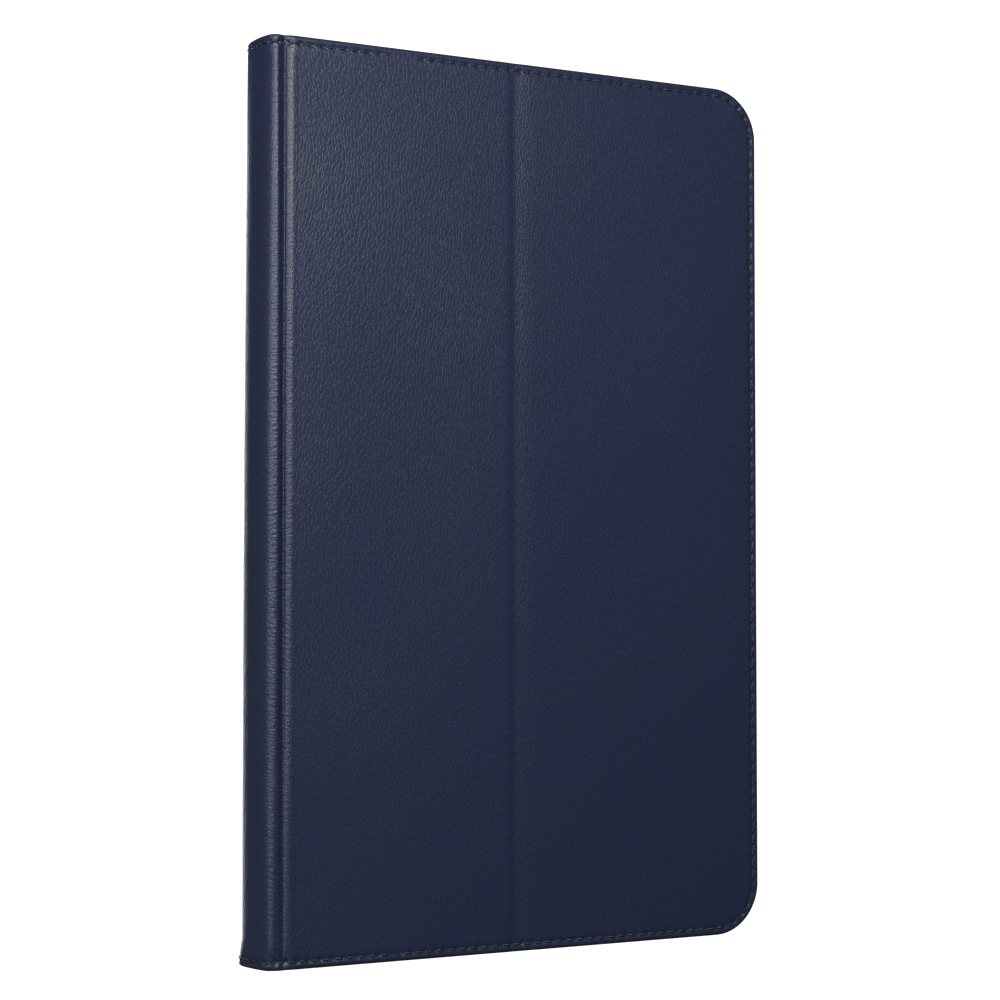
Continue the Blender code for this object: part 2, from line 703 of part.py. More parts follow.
def main():
    clear_scene()
    looks = add_looks()
    root = body("root_body", (0.0, 0.0, 0.0))
    spine = body("spine_body", (0.0, GUTTER_Y, 0.0), root)
    inner = body("inner_panel_body", (0.0, GUTTER_Y, THICKNESS), spine)
    outer = body("outer_panel_body", (0.0, CREASE_Y, THICKNESS), inner)
    keyboard = body("keyboard_body", (0.0, KEYBOARD_Y, KEYBOARD_Z), root)

    hole = [camera_outline()]
    add_panel("back", root, looks, FREE_EDGE_Y, PANEL_END_Y, FREE_CORNER, SPINE_CORNER, 0.0, 1, hole)
    add_holder(root, looks)
    add_spine(spine, looks)
    add_gutter_strips(spine, looks)
    fold = (CREASE_Y - CREASE_HALF, CREASE_Y + CREASE_HALF)
    add_panel("inner_panel", inner, looks, fold[1], PANEL_END_Y, 0.0, SPINE_CORNER, THICKNESS, -1)
    add_crease_strip(inner, looks)
    magnet_y = FREE_EDGE_Y + MAGNET_INSET
    magnets = [(-MAGNET_X, magnet_y), (MAGNET_X, magnet_y)]
    outer_ends = (FREE_EDGE_Y, fold[0], FREE_CORNER, 0.0)
    add_panel("outer_panel", outer, looks, *outer_ends, THICKNESS, -1, (), magnets)
    add_base(keyboard, looks)
    add_deck(keyboard, looks)
    add_key_layers(keyboard, looks)
    add_electronics(keyboard, looks)
    add_charge_socket(keyboard, looks)
    add_keys(keyboard, looks)
    add_touchpad(keyboard, looks)
    add_switch(keyboard, looks)


main()
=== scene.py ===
"""Looks of the tablet keyboard case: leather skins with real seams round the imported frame, linings, a
moulded tablet holder and a keyboard with dished keys. All sizes are metres in the row frame."""

import json
import math

import bpy
import numpy as np
from mathutils import Matrix, Vector
from mathutils.kdtree import KDTree


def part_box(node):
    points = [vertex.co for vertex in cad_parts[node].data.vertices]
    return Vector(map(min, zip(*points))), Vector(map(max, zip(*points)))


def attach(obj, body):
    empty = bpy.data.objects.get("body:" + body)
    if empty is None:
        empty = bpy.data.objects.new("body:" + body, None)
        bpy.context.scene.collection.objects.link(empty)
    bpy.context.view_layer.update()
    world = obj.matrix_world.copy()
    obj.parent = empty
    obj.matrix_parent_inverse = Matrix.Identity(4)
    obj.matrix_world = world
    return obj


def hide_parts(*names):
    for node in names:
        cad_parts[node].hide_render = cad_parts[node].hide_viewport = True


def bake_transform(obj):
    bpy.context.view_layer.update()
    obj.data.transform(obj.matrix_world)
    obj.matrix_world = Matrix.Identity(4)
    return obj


MM = 0.001

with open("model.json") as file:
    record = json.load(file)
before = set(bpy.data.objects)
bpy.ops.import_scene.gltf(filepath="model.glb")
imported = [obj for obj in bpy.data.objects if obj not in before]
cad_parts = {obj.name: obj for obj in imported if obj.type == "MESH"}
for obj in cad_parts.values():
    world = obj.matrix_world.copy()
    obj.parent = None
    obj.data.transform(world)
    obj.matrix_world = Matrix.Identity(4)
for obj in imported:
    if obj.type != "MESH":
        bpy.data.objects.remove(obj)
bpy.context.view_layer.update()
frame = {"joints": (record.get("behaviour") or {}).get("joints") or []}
joints = {j["name"]: j for j in frame["joints"]}

# ---- sizes, from the frame

outer_low, outer_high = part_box("outer_panel_leather")
inner_low, inner_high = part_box("inner_panel_leather")
spine_low, spine_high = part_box("spine_leather")
HALF_X = outer_high.x
THICK = outer_high.z
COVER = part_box("back_leather")[1].z
FREE_Y = outer_low.y
GUTTER_Y = joints["front_gutter"]["pos_m"][1]
CREASE_Y = joints["crease"]["pos_m"][1]
SEAM_Y = (inner_low.y + inner_high.y) / 2

# Gutter and crease. The gutter climbs from its foot to the spine's shoulder on one side and over
# GUTTER_ROUND to the panel on the other; GUTTER_LEAN is the share of the spine side that climbs at once.
# The crease's two widths are towards the spine and towards the free edge; CREASE_BEND gives distances
# on the same two sides, which set crease_start and crease_end. FOLDS_REACH is how far the gutter gathers the
# leather.
FREE_CORNER = 15.0 * MM
GUTTER_DEPTH = 1.6 * MM
GUTTER_FOOT = 1.25 * MM
GUTTER_ROUND = 2.2 * MM
GUTTER_LEAN = 0.3
SPINE_SIDE_POWER = 1.5
PANEL_SIDE_POWER = 0.55
CREASE_DEPTH = 0.26 * MM
CREASE_WIDTH = (1.7 * MM, 3.3 * MM)
CREASE_POWER = 1.7
CREASE_BEND = (0.9 * MM, 0.6 * MM)
FOLDS_REACH = 5.5 * MM

# Spine: its rounding at the front and back (powers of a superellipse), and how it varies along its length
SHOULDER_Y = GUTTER_Y + 1.65 * MM
SHOULDER_LIFT = 0.25 * MM
SPINE_POWER_FRONT = 2.1
SPINE_POWER_BACK = 3.0
SPINE_BOW = 0.4 * MM
CREST_BOW = 0.6 * MM
SEAM_PRESS = 0.5 * MM
GROOVE_FADE = 0.6
SPINE_TAPER = 0.3 * MM
SPINE_FLARE = 1.0 * MM
FLARE_LENGTH = 9.0 * MM
# Where the bulge and the crest's bow rise and fall, as distances behind the gutter
BULGE_RISE = (0.5 * MM, 3.5 * MM)
CREST_RISE = (-0.4 * MM, 1.0 * MM)
CREST_FALL = (1.2 * MM, 4.2 * MM)
# Ridges beside the gutter, pressed down near both ends: (place behind the gutter, width) of each
SPINE_RIDGE = (2.0 * MM, 1.3 * MM)
PANEL_RIDGE = (-2.0 * MM, 1.2 * MM)
PANEL_SHARE = 0.6
PRESS_START = 6.5 * MM
PRESS_FULL = 2.5 * MM

# Rounding of the lining's section, and where before the gutter it starts
INNER_POWER = 4.0
INNER_START = 1.6 * MM

# Turned edges of the leather and of the lining inside it
EDGE_RADIUS = 1.075 * MM
FLANGE = 4.0 * MM
LINING_INSET = 1.4 * MM
LINING_EDGE = 0.16 * MM
LINING_FLANGE = 0.5 * MM

# Spine board: reach along the section from the middle, and depths of its two faces under the surface
SPINE_BOARD_REACH = 5.6 * MM
SPINE_BOARD_DEPTH = (0.8 * MM, 1.8 * MM)

# Camera window
CAMERA_SIZE = (30.0 * MM, 15.0 * MM)
CAMERA_INSET = (22.0 * MM, 20.0 * MM)
CAMERA_CORNER = 7.0 * MM
CAMERA_X = HALF_X - CAMERA_INSET[0] - CAMERA_SIZE[0] / 2
CAMERA_Y = FREE_Y + CAMERA_INSET[1] + CAMERA_SIZE[1] / 2
WINDOW_MARGIN = 3.0 * MM
WINDOW_ROLL = 0.6 * MM

# Seams
STITCH_PITCH = 3.5 * MM
STITCH_LENGTH = 2.3 * MM
THREAD_RADIUS = 0.26 * MM
SEAM_INSET = 2.3 * MM
SEAM_STEP = 0.1 * MM
SEAM_DIP = 0.10 * MM
SEAM_WIDTH = 0.75 * MM
HOLE_DIP = 0.38 * MM
HOLE_WIDTH = 0.62 * MM
HOLE_REACH = 1.6 * MM
STEP = STITCH_PITCH / 4
CLOSE_AT_GUTTER = 5.0 * MM
CLOSE_AT_CREASE = 4.0 * MM
# The sheets' close lines near the seam, as distances from the edge in mm
SEAM_LINES = (3.9, 3.3, 2.8, 2.5, 2.3, 2.1, 1.8, 1.45)
# Thread: its sides, how much wider than high it is, how far single stitches turn, and their random seed
THREAD_SIDES = 8
THREAD_WIDER = 1.15
STITCH_TURN = 0.05
STITCH_SEED = 7
# (place along the thread, share of its radius, height in mm) of the rings of one stitch
STITCH_RINGS = (
    (-0.5, 0.35, -0.28), (-0.44, 0.8, -0.12), (-0.25, 1.0, 0.04), (0.0, 1.0, 0.10),
    (0.25, 1.0, 0.04), (0.44, 0.8, -0.12), (0.5, 0.35, -0.28),
)


# ---- mesh helpers


def link_object(name, data):
    obj = bpy.data.objects.new(name, data)
    bpy.context.scene.collection.objects.link(obj)
    return obj


def mesh_object(name, verts, faces, mat, smooth=True):
    mesh = bpy.data.meshes.new(name)
    mesh.from_pydata([tuple(v) for v in verts], [], [tuple(f) for f in faces])
    mesh.materials.append(mat)
    mesh.validate()
    if smooth:
        mesh.shade_smooth()
    return link_object(name, mesh)


def grid_faces(rows, cols, flip=False):
    i = np.arange(rows - 1)[:, None] * cols + np.arange(cols - 1)[None, :]
    quads = np.stack([i, i + 1, i + cols + 1, i + cols], axis=-1).reshape(-1, 4)
    return quads[:, ::-1] if flip else quads


def set_uv(obj, coords, name="developed"):
    layer = obj.data.uv_layers.new(name=name)
    index = np.zeros(len(obj.data.loops), np.int32)
    obj.data.loops.foreach_get("vertex_index", index)
    layer.data.foreach_set("uv", np.asarray(coords, np.float32)[index].ravel())


def smoothstep(x):
    t = np.clip(x, 0.0, 1.0)
    return t * t * (3 - 2 * t)


def ease(x, start, end):
    """Rises smoothly from 0 at start to 1 at end."""
    return smoothstep((x - start) / (end - start))


def mound(x, middle, width):
    return np.exp(-(((x - middle) / width) ** 2))


def along_line(points):
    """Distances of a line's points from its first one, measured along it."""
    return np.concatenate([[0.0], np.cumsum(np.linalg.norm(np.diff(points, axis=0), axis=1))])


# ---- materials


class Nodes:
    """A short way to write a node tree."""

    def __init__(self, name):
        self.mat = bpy.data.materials.new(name)
        self.mat.use_nodes = True
        self.tree = self.mat.node_tree
        self.shader = self.tree.nodes["Principled BSDF"]

    def fill(self, node, inputs):
        """Links or sets each input; one that is None stays as it is."""
        for key, value in inputs.items():
            if isinstance(value, bpy.types.NodeSocket):
                self.tree.links.new(value, node.inputs[key])
            elif value is not None:
                node.inputs[key].default_value = value

    def add(self, kind, inputs, **settings):
        node = self.tree.nodes.new("ShaderNode" + kind)
        for key, value in settings.items():
            setattr(node, key, value)
        self.fill(node, inputs)
        return node

    def math(self, operation, a, b=0.0, clamp=False):
        return self.add("Math", {0: a, 1: b}, operation=operation, use_clamp=clamp).outputs[0]

    def vector(self, operation, a, b):
        second = "Scale" if operation == "SCALE" else 1
        return self.add("VectorMath", {0: a, second: b}, operation=operation).outputs[0]

    def weigh(self, a, share_a, b, share_b):
        return self.math("ADD", self.math("MULTIPLY", a, share_a), self.math("MULTIPLY", b, share_b))

    def developed(self, layer="developed"):
        return self.add("UVMap", {}, uv_map=layer).outputs["UV"]

    def object_at(self):
        return self.add("TexCoord", {}).outputs["Object"]

    def noise(self, at, scale, detail, output="Fac", **inputs):
        inputs = {"Vector": at, "Scale": scale, "Detail": detail, **inputs}
        return self.add("TexNoise", inputs).outputs[output]

    def drift(self, noise_colour, amount):
        """A noise colour as a push of at most half the amount in each direction."""
        return self.vector("SCALE", self.vector("SUBTRACT", noise_colour, (0.5, 0.5, 0.5)), amount)

    def mix(self, factor, a, b):
        colours = [c if isinstance(c, bpy.types.NodeSocket) else (*c, 1.0) for c in (a, b)]
        inputs = {"Factor": factor, 6: colours[0], 7: colours[1]}
        return self.add("Mix", inputs, data_type="RGBA").outputs[2]

    def ramp(self, value, stops):
        node = self.add("ValToRGB", {"Fac": value})
        elements = node.color_ramp.elements
        while len(elements) < len(stops):
            elements.new(0.5)
        for element, (position, colour) in zip(elements, stops):
            element.position = position
            element.color = (*colour, 1.0)
        return node.outputs["Color"]

    def map_range(self, value, low, high):
        node = self.add("MapRange", {"Value": value, "To Min": low, "To Max": high})
        return node.outputs["Result"]

    def bump(self, height, strength, distance):
        inputs = {"Height": height, "Strength": strength, "Distance": distance}
        return self.add("Bump", inputs).outputs["Normal"]

    def finish(self, colour, roughness, normal=None, **constants):
        named = {key.replace("_", " "): value for key, value in constants.items()}
        self.fill(self.shader, {"Base Color": colour, "Roughness": roughness, "Normal": normal, **named})
        return self.mat


def leather_material():
    """Litchi-grain coated leather: millimetre pebbles, gathered into fine folds in the gutters, with
    painted shade in the darker cracks between the pebbles and on the darker turned edges."""
    n = Nodes("navy_leather")
    uv = n.developed()
    bent = n.vector("ADD", uv, n.drift(n.noise(uv, 18.0, 0.0, "Color"), 0.022))
    scaled = n.vector("MULTIPLY", bent, (520.0, 960.0, 1.0))
    cells = n.vector("ADD", scaled, n.drift(n.noise(scaled, 1.4, 1.0, "Color"), 0.7))
    pebble = n.add(
        "TexVoronoi",
        {"Vector": cells, "Scale": 1.0, "Randomness": 0.9},
        feature="DISTANCE_TO_EDGE",
        voronoi_dimensions="2D",
    )
    raised = n.ramp(pebble.outputs["Distance"], [(0.0, (0, 0, 0)), (0.07, (0.55,) * 3), (0.22, (1, 1, 1))])
    fine = n.noise(scaled, 3.2, 2.0, Roughness=0.55)
    broad = n.noise(uv, 260.0, 1.0)
    along = n.math("ABSOLUTE", n.add("SeparateXYZ", {0: uv}).outputs["Y"])
    from_gutter = n.math("ABSOLUTE", n.math("SUBTRACT", along, GUTTER_S))
    gathered = n.math("SUBTRACT", 1.0, n.math("DIVIDE", from_gutter, FOLDS_REACH), clamp=True)
    folds = n.noise(n.vector("MULTIPLY", bent, (1500.0, 380.0, 1.0)), 1.0, 2.0, Roughness=0.6)
    height = n.math("ADD", raised, n.weigh(fine, 0.45, broad, 0.9))
    height = n.math("ADD", height, n.math("MULTIPLY", n.math("MULTIPLY", folds, gathered), 9.0))
    # Painted shade: the cracks between the pebbles get a darker navy than the raised pebbles.
    tint_with_painted_crack_shade = n.mix(n.map_range(raised, 0.0, 1.0), (0.0052, 0.0083, 0.0232), (0.0074, 0.0118, 0.0332))
    varied = n.mix(n.map_range(n.noise(uv, 16.0, 2.0), 0.0, 0.22), tint_with_painted_crack_shade, (0.0094, 0.0124, 0.0292))
    # Painted shade: the turned edges are mixed towards near-black navy by how far the roll takes them down,
    # standing in for shade on the roll; the same mask also raises the roughness there.
    turned = n.add("SeparateXYZ", {0: n.developed("edge")}).outputs["X"]
    painted_shade_on_roll = n.add("MapRange", {"Value": turned, "From Min": 0.03, "From Max": 0.32}).outputs["Result"]
    colour_with_painted_edge_shade = n.mix(painted_shade_on_roll, varied, (0.0013, 0.0019, 0.0052))
    rough = n.math("ADD", n.map_range(fine, 0.35, 0.46), n.math("MULTIPLY", painted_shade_on_roll, 0.3))
    return n.finish(colour_with_painted_edge_shade, rough, n.bump(height, 0.29, 0.15 * MM), Specular_IOR_Level=0.36)


def thread_material():
    n = Nodes("navy_thread")
    waves = {"Vector": n.developed(), "Scale": 3.0, "Distortion": 0.4}
    twist = n.add("TexWave", waves, bands_direction="DIAGONAL").outputs["Fac"]
    colour = n.ramp(twist, [(0.0, (0.0015, 0.002, 0.006)), (1.0, (0.006, 0.008, 0.020))])
    return n.finish(colour, 0.42, n.bump(twist, 0.6, 0.06 * MM))


def lining_material():
    """Short-napped microfibre."""
    n = Nodes("microfibre_lining")
    uv = n.developed()
    nap = n.noise(uv, 2600.0, 3.0, Roughness=0.7)
    amount = n.weigh(nap, 0.6, n.noise(uv, 90.0, 3.0, Distortion=1.5), 0.5)
    colour = n.ramp(amount, [(0.3, (0.020, 0.023, 0.036)), (0.8, (0.048, 0.053, 0.075))])
    return n.finish(colour, 0.95, n.bump(nap, 0.5, 0.12 * MM), Sheen_Weight=0.35, Sheen_Roughness=0.5)


# ---- the covers' section


class Path:
    """Half of the case's section, from the middle of the spine to a free edge, measured along the line."""

    def __init__(self, y, z, back):
        if back:
            z = THICK - z
        self.back = back
        self.s = along_line(np.column_stack([y, z]))
        self.y = y
        self.z = z
        turn = -1.0 if back else 1.0
        run_y = np.gradient(y, self.s)
        run_z = np.gradient(z, self.s)
        size = np.hypot(run_y, run_z)
        self.ny = turn * run_z / size
        self.nz = -turn * run_y / size

    def at(self, s):
        """(y, z, normal y, normal z) at the given distances; past the end the line runs on straight."""
        beyond = np.maximum(s - self.s[-1], 0.0)
        y = np.interp(s, self.s, self.y) - beyond
        ny = np.interp(s, self.s, self.ny)
        nz = np.interp(s, self.s, self.nz)
        size = np.hypot(ny, nz)
        return y, np.interp(s, self.s, self.z), ny / size, nz / size

    def distance_at_y(self, y):
        """The distance at which the line, past the spine, reaches y."""
        flat = self.s > 0.3 * THICK
        return float(np.interp(-y, -self.y[flat], self.s[flat]))


def even(y, z, step=0.1 * MM):
    along = along_line(np.column_stack([y, z]))
    marks = np.linspace(0.0, along[-1], int(along[-1] / step))
    return np.interp(marks, along, y), np.interp(marks, along, z)


def hollow(y, back):
    """Depth of the gutter and, on the front, the crease below the flat cover."""
    foot = GUTTER_Y - GUTTER_FOOT
    rise = np.clip((y - foot) / (SHOULDER_Y - foot), 0.0, 1.0)
    late = smoothstep(rise**SPINE_SIDE_POWER)
    towards_spine = GUTTER_LEAN * (1 - (1 - rise) ** 2) + (1 - GUTTER_LEAN) * late
    climb = 1 - np.clip((foot - y) / GUTTER_ROUND, 0.0, 1.0)
    towards_panel = 1 - (1 - climb**2) ** PANEL_SIDE_POWER
    groove = GUTTER_DEPTH * (1 - towards_spine) * towards_panel
    width = np.where(y > CREASE_Y, CREASE_WIDTH[0], CREASE_WIDTH[1])
    crease = CREASE_DEPTH * np.exp(-(np.abs((y - CREASE_Y) / width) ** CREASE_POWER))
    return groove if back else groove + crease


def half_section(corner_y, far_y, top, power, flat_top, back):
    """From the middle of the spine at far_y, round a superellipse to corner_y, then on to the free edge."""
    angle = np.linspace(0.0, math.pi / 2, 2000)
    y = corner_y + (far_y - corner_y) * np.cos(angle) ** (2 / power)
    z = THICK / 2 + (top - THICK / 2) * np.sin(angle) ** (2 / power)
    flat = np.linspace(corner_y, FREE_Y, 6000)[1:]
    return Path(*even(np.concatenate([y, flat]), np.concatenate([z, flat_top(flat)])), back)


def outer_path(back):
    def flat_top(y):
        return THICK - SHOULDER_LIFT * ease(y, GUTTER_Y, SHOULDER_Y) - hollow(y, back)

    power = SPINE_POWER_BACK if back else SPINE_POWER_FRONT
    return half_section(SHOULDER_Y, spine_high.y, THICK - SHOULDER_LIFT, power, flat_top, back)


def inner_path(back):
    inside = THICK - COVER
    far_y = spine_high.y - COVER
    start_y = GUTTER_Y - INNER_START
    return half_section(start_y, far_y, inside, INNER_POWER, lambda y: np.full(len(y), inside), back)


# ---- skins and seams


def ring_marks(radius, flange):
    """Ring coordinates past the last plain line: round the edge, then in along the flange."""
    turn = np.linspace(0.0, math.pi, 9)[1:] * radius
    inward = math.pi * radius + np.array([0.3, 0.6, 1.0]) * flange
    return np.concatenate([turn, inward])


def close_rows(rows, path):
    """Adds lines between the given ones where the section turns: the spine and gutter, and the crease."""
    y = path.at(rows[:-1])[0]
    gap = np.diff(rows)
    spine = y > GUTTER_Y - CLOSE_AT_GUTTER
    crease = (np.abs(y - CREASE_Y) < CLOSE_AT_CREASE) & (not path.back)
    added = [rows]
    for share in (0.25, 0.5, 0.75):
        chosen = spine | crease if share == 0.5 else spine
        added.append((rows[:-1] + gap * share)[chosen])
    return np.unique(np.concatenate(added))


def near_edge(width):
    """Distances from the edge of the close lines round the seam, down to the start of the edge's roll."""
    marks = np.array(SEAM_LINES) * MM
    return np.append(marks[marks > width + 0.1 * MM], width)


class Skin:
    """A sheet that follows a path from s0 to s1, turned over at its edges. Without s1 it ends at the free
    edge and has its corners."""

    def __init__(self, path, s0, s1, inset, radius, flange, inward):
        self.path = path
        self.inset = inset
        self.radius = radius
        self.corner = FREE_CORNER - inset
        self.half = HALF_X - inset
        self.end = path.s[-1] - inset
        self.side = -1.0 if inward else 1.0
        marks = near_edge(radius)
        plain = self.corner - marks
        core = self.half - self.corner
        count = int((core + self.corner - marks[0]) / STEP)
        middle = np.arange(-count, count + 1) * STEP
        ring = self.corner - radius + ring_marks(radius, flange)
        edge = np.concatenate([plain, ring]) + core
        edge = edge[edge > middle[-1] + 0.25 * STEP]
        self.cols = np.concatenate([-edge[::-1], middle, edge])
        if s1 is None:
            base = self.end - self.corner
            rows = close_rows(np.arange(s0, base + plain[0] - 0.25 * STEP, STEP), path)
            self.rows = np.concatenate([rows, base + np.concatenate([plain, ring])])
        else:
            self.rows = close_rows(np.linspace(s0, s1, max(2, int(round((s1 - s0) / STEP)) + 1)), path)

    def edge_radius(self, s):
        """The turned edge is thinner where the cover is, in the gutter and the crease."""
        if self.inset > 0:
            return np.full_like(s, self.radius)
        return self.radius - hollow(self.path.at(s)[0], self.path.back) / 2

    def place(self, x, s):
        """Of grid points: positions, normals, how far the roll takes them down, distance from the edge."""
        core_x = self.half - self.corner
        core_s = self.end - self.corner
        cx = np.maximum(np.abs(x) - core_x, 0.0)
        cs = np.maximum(s - core_s, 0.0)
        ring = np.maximum(cx, cs)
        safe = np.maximum(ring, 1e-9)
        angle = np.where(cx >= cs, cs / safe, 2.0 - cx / safe) * math.pi / 4
        angle = np.where(ring <= 0, 0.0, angle)
        start = self.corner - self.radius
        turn = np.clip((ring - start) / self.radius, 0.0, math.pi)
        flat = np.maximum(ring - start - math.pi * self.radius, 0.0)
        radius = self.edge_radius(np.minimum(s, core_s))
        rolled = self.corner - radius + radius * np.sin(turn) - flat
        reach = np.where(ring <= start, ring, rolled)
        drop = np.where(ring <= start, 0.0, radius * (1 - np.cos(turn)))
        both = (cx > 0) & (cs > 0)
        out_x = np.where(both, reach * np.cos(angle), np.where(cx > 0, reach, 0.0))
        out_s = np.where(both, reach * np.sin(angle), np.where(cs > 0, reach, 0.0))
        new_x = np.sign(x) * np.where(cx > 0, core_x + out_x, np.abs(x))
        new_s = np.where(cs > 0, core_s + out_s, s)
        y, z, ny, nz = self.path.at(new_s)
        ny = ny * self.side
        nz = nz * self.side
        point = np.column_stack([new_x, y - ny * drop, z - nz * drop])
        normal = np.column_stack([np.zeros_like(ny), ny, nz])
        return point, normal, drop, self.corner - reach

    def build(self, name, mat, holes, shape, window):
        """The sheet's mesh, pressed in along its seam and at the needle holes."""
        s, x = np.meshgrid(self.rows, self.cols, indexing="ij")
        point, normal, drop, edge = self.place(x.ravel(), s.ravel())
        uv = np.column_stack([x.ravel(), s.ravel() * (-1 if self.path.back else 1)])
        face_up = 1.0 - smoothstep(drop / (0.6 * self.radius))
        seam = SEAM_INSET - self.inset
        dip = SEAM_DIP * mound(edge, seam, SEAM_WIDTH) * face_up
        tree = KDTree(len(holes))
        for i, hole in enumerate(holes):
            tree.insert(hole, i)
        tree.balance()
        for i in np.nonzero((np.abs(edge - seam) < HOLE_REACH) & (face_up > 0))[0]:
            dip[i] += HOLE_DIP * mound(tree.find(point[i])[2], 0.0, HOLE_WIDTH) * face_up[i]
        point = point - normal * dip[:, None]
        if shape is not None:
            point = shape(point)
        flip = self.path.back != (self.side < 0)
        faces = grid_faces(len(self.rows), len(self.cols), not flip).tolist()
        if window is not None:
            point, uv, faces = self.open_window(point, uv, faces, window, not flip)
        obj = mesh_object(name, point, faces, mat)
        set_uv(obj, uv)
        # The roll's depth goes into the edge layer, which the leather uses for its painted shade on the
        # turned edges.
        painted_shade_on_roll = np.zeros_like(uv)
        painted_shade_on_roll[: len(drop), 0] = drop / MM
        set_uv(obj, painted_shade_on_roll, "edge")
        return obj

    def open_window(self, point, uv, faces, window, flip):
        """Takes out the grid round a rounded window and puts in rings that run to its edge and through it."""
        cols = len(self.cols)
        reach = (window.half_x + WINDOW_MARGIN, window.half_y + WINDOW_MARGIN)
        near_x = np.abs(self.cols - window.x) < reach[0]
        near_y = np.abs(self.path.at(self.rows)[0] - window.y) < reach[1]
        j0, j1 = np.nonzero(near_x)[0][[0, -1]]
        i0, i1 = np.nonzero(near_y)[0][[0, -1]]

        def inside(face):
            rows = [v // cols for v in face]
            across = [v % cols for v in face]
            return i0 <= min(rows) and max(rows) <= i1 and j0 <= min(across) and max(across) <= j1

        kept = [f for f in faces if not inside(f)]
        edge = [i0 * cols + j for j in range(j0, j1)] + [i * cols + j1 for i in range(i0, i1)]
        edge += [i1 * cols + j for j in range(j1, j0, -1)] + [i * cols + j0 for i in range(i1, i0, -1)]
        start = point[edge]
        depth = np.sign(THICK / 2 - start[0, 2]) * self.side
        points = [point]
        coords = [uv]
        previous = edge
        count = len(point)
        turn = -1 if self.path.back else 1
        for share, out, drop in window_rings(self.side):
            target = window.outline(start[:, :2], out)
            flat = start[:, :2] * (1 - share) + target * share
            ring = np.column_stack([flat, np.full(len(edge), start[0, 2] + depth * drop)])
            points.append(ring)
            coords.append(np.column_stack([flat[:, 0], turn * (self.path.s[-1] - flat[:, 1] + FREE_Y)]))
            now = list(range(count, count + len(edge)))
            for k in range(len(edge)):
                m = (k + 1) % len(edge)
                quad = (previous[k], previous[m], now[m], now[k])
                kept.append(quad[::-1] if flip else quad)
            previous = now
            count += len(edge)
        return np.concatenate(points), np.concatenate(coords), kept


class Window:
    """A rounded opening through the back cover."""

    def __init__(self, x, y, size_x, size_y, corner):
        self.x = x
        self.y = y
        self.half_x = size_x / 2
        self.half_y = size_y / 2
        self.corner = corner

    def outline(self, at, out):
        """The outline's nearest points to the given ones; out moves it outwards."""
        core = np.array([self.half_x - self.corner, self.half_y - self.corner])
        from_centre = at - np.array([self.x, self.y])
        core_point = np.clip(from_centre, -core, core)
        away = from_centre - core_point
        away /= np.linalg.norm(away, axis=1)[:, None]
        return np.array([self.x, self.y]) + core_point + away * (self.corner + out)


def window_rings(side):
    """(share of the way to the outline, distance outside it, depth) of each ring."""
    rings = [(0.3, WINDOW_ROLL, 0.0), (0.6, WINDOW_ROLL, 0.0), (0.85, WINDOW_ROLL, 0.0)]
    if side < 0:
        return rings + [(1.0, WINDOW_ROLL, 0.0)]
    for angle in np.linspace(0.0, math.pi / 2, 6):
        rings.append((1.0, WINDOW_ROLL * (1 - math.sin(angle)), WINDOW_ROLL * (1 - math.cos(angle))))
    return rings + [(1.0, 0.0, COVER)]


def seam_line(path, s0, s1, side):
    """Lines of (points, normals) along the seam: one down each end of the case, or one from s0 at one end
    round the free corners and back to s0."""
    radius = FREE_CORNER - SEAM_INSET
    end = path.s[-1] - SEAM_INSET
    far = HALF_X - SEAM_INSET
    straight = end - radius
    run = np.arange(s0, min(s1, straight), SEAM_STEP)
    sides = np.full_like(run, far)
    if s1 < straight:
        parts = [(-sides, run), (sides, run)]
    else:
        turn = np.linspace(0, math.pi / 2, 240)
        core = far - radius
        across = np.arange(-core, core, SEAM_STEP)
        xs = [-sides, -core - radius * np.cos(turn), across, core + radius * np.sin(turn), sides]
        ss = [run, straight + radius * np.sin(turn), np.full_like(across, end)]
        ss += [straight + radius * np.cos(turn), run[::-1]]
        parts = [(np.concatenate(xs), np.concatenate(ss))]
    lines = []
    for xs, ss in parts:
        y, z, ny, nz = path.at(ss)
        normals = np.column_stack([np.zeros_like(ny), ny * side, nz * side])
        lines.append((np.column_stack([xs, y, z]), normals))
    return lines


def stitch_places(lines):
    """(middle, direction, normal) of each stitch, and the holes between them."""
    places = []
    holes = []
    for points, normals in lines:
        along = along_line(points)
        count = int(along[-1] / STITCH_PITCH)
        marks = (np.arange(count) + 0.5) * STITCH_PITCH

        def read(at, table):
            return np.stack([np.interp(at, along, table[:, k]) for k in range(3)], axis=-1)

        middle = read(marks, points)
        ahead = read(marks + STITCH_LENGTH / 2, points) - read(marks - STITCH_LENGTH / 2, points)
        ahead /= np.linalg.norm(ahead, axis=1)[:, None]
        places += list(zip(middle, ahead, read(marks, normals)))
        holes += list(read(marks - STITCH_PITCH / 2, points))
    return places, holes


def stitches(name, places, shape):
    """One mesh of short thread lengths, each arched a little and sunk at its ends."""
    rng = np.random.default_rng(STITCH_SEED)
    sides = np.arange(THREAD_SIDES) * 2 * math.pi / THREAD_SIDES
    verts = []
    faces = []
    uv = []
    for middle, ahead, normal in places:
        across = np.cross(normal, ahead)
        ahead = ahead + across * rng.normal(0.0, STITCH_TURN)
        base = len(verts)
        for share, fat, lift in STITCH_RINGS:
            at = share * STITCH_LENGTH
            centre = middle + ahead * at + normal * lift * MM
            for a in sides:
                rim = across * math.cos(a) * THREAD_WIDER + normal * math.sin(a)
                verts.append(centre + rim * fat * THREAD_RADIUS)
                uv.append((at / (0.6 * MM), a / math.pi))
        n = THREAD_SIDES
        last = base + (len(STITCH_RINGS) - 1) * n
        for ring in range(base, last, n):
            for j in range(n):
                a = ring + j
                b = ring + (j + 1) % n
                faces.append((a, a + n, b + n, b))
        faces.append(tuple(range(base, base + n)))
        faces.append(tuple(reversed(range(last, last + n))))
    verts = np.array(verts)
    obj = mesh_object(name, verts if shape is None else shape(verts), faces, THREAD)
    set_uv(obj, uv)
    return obj


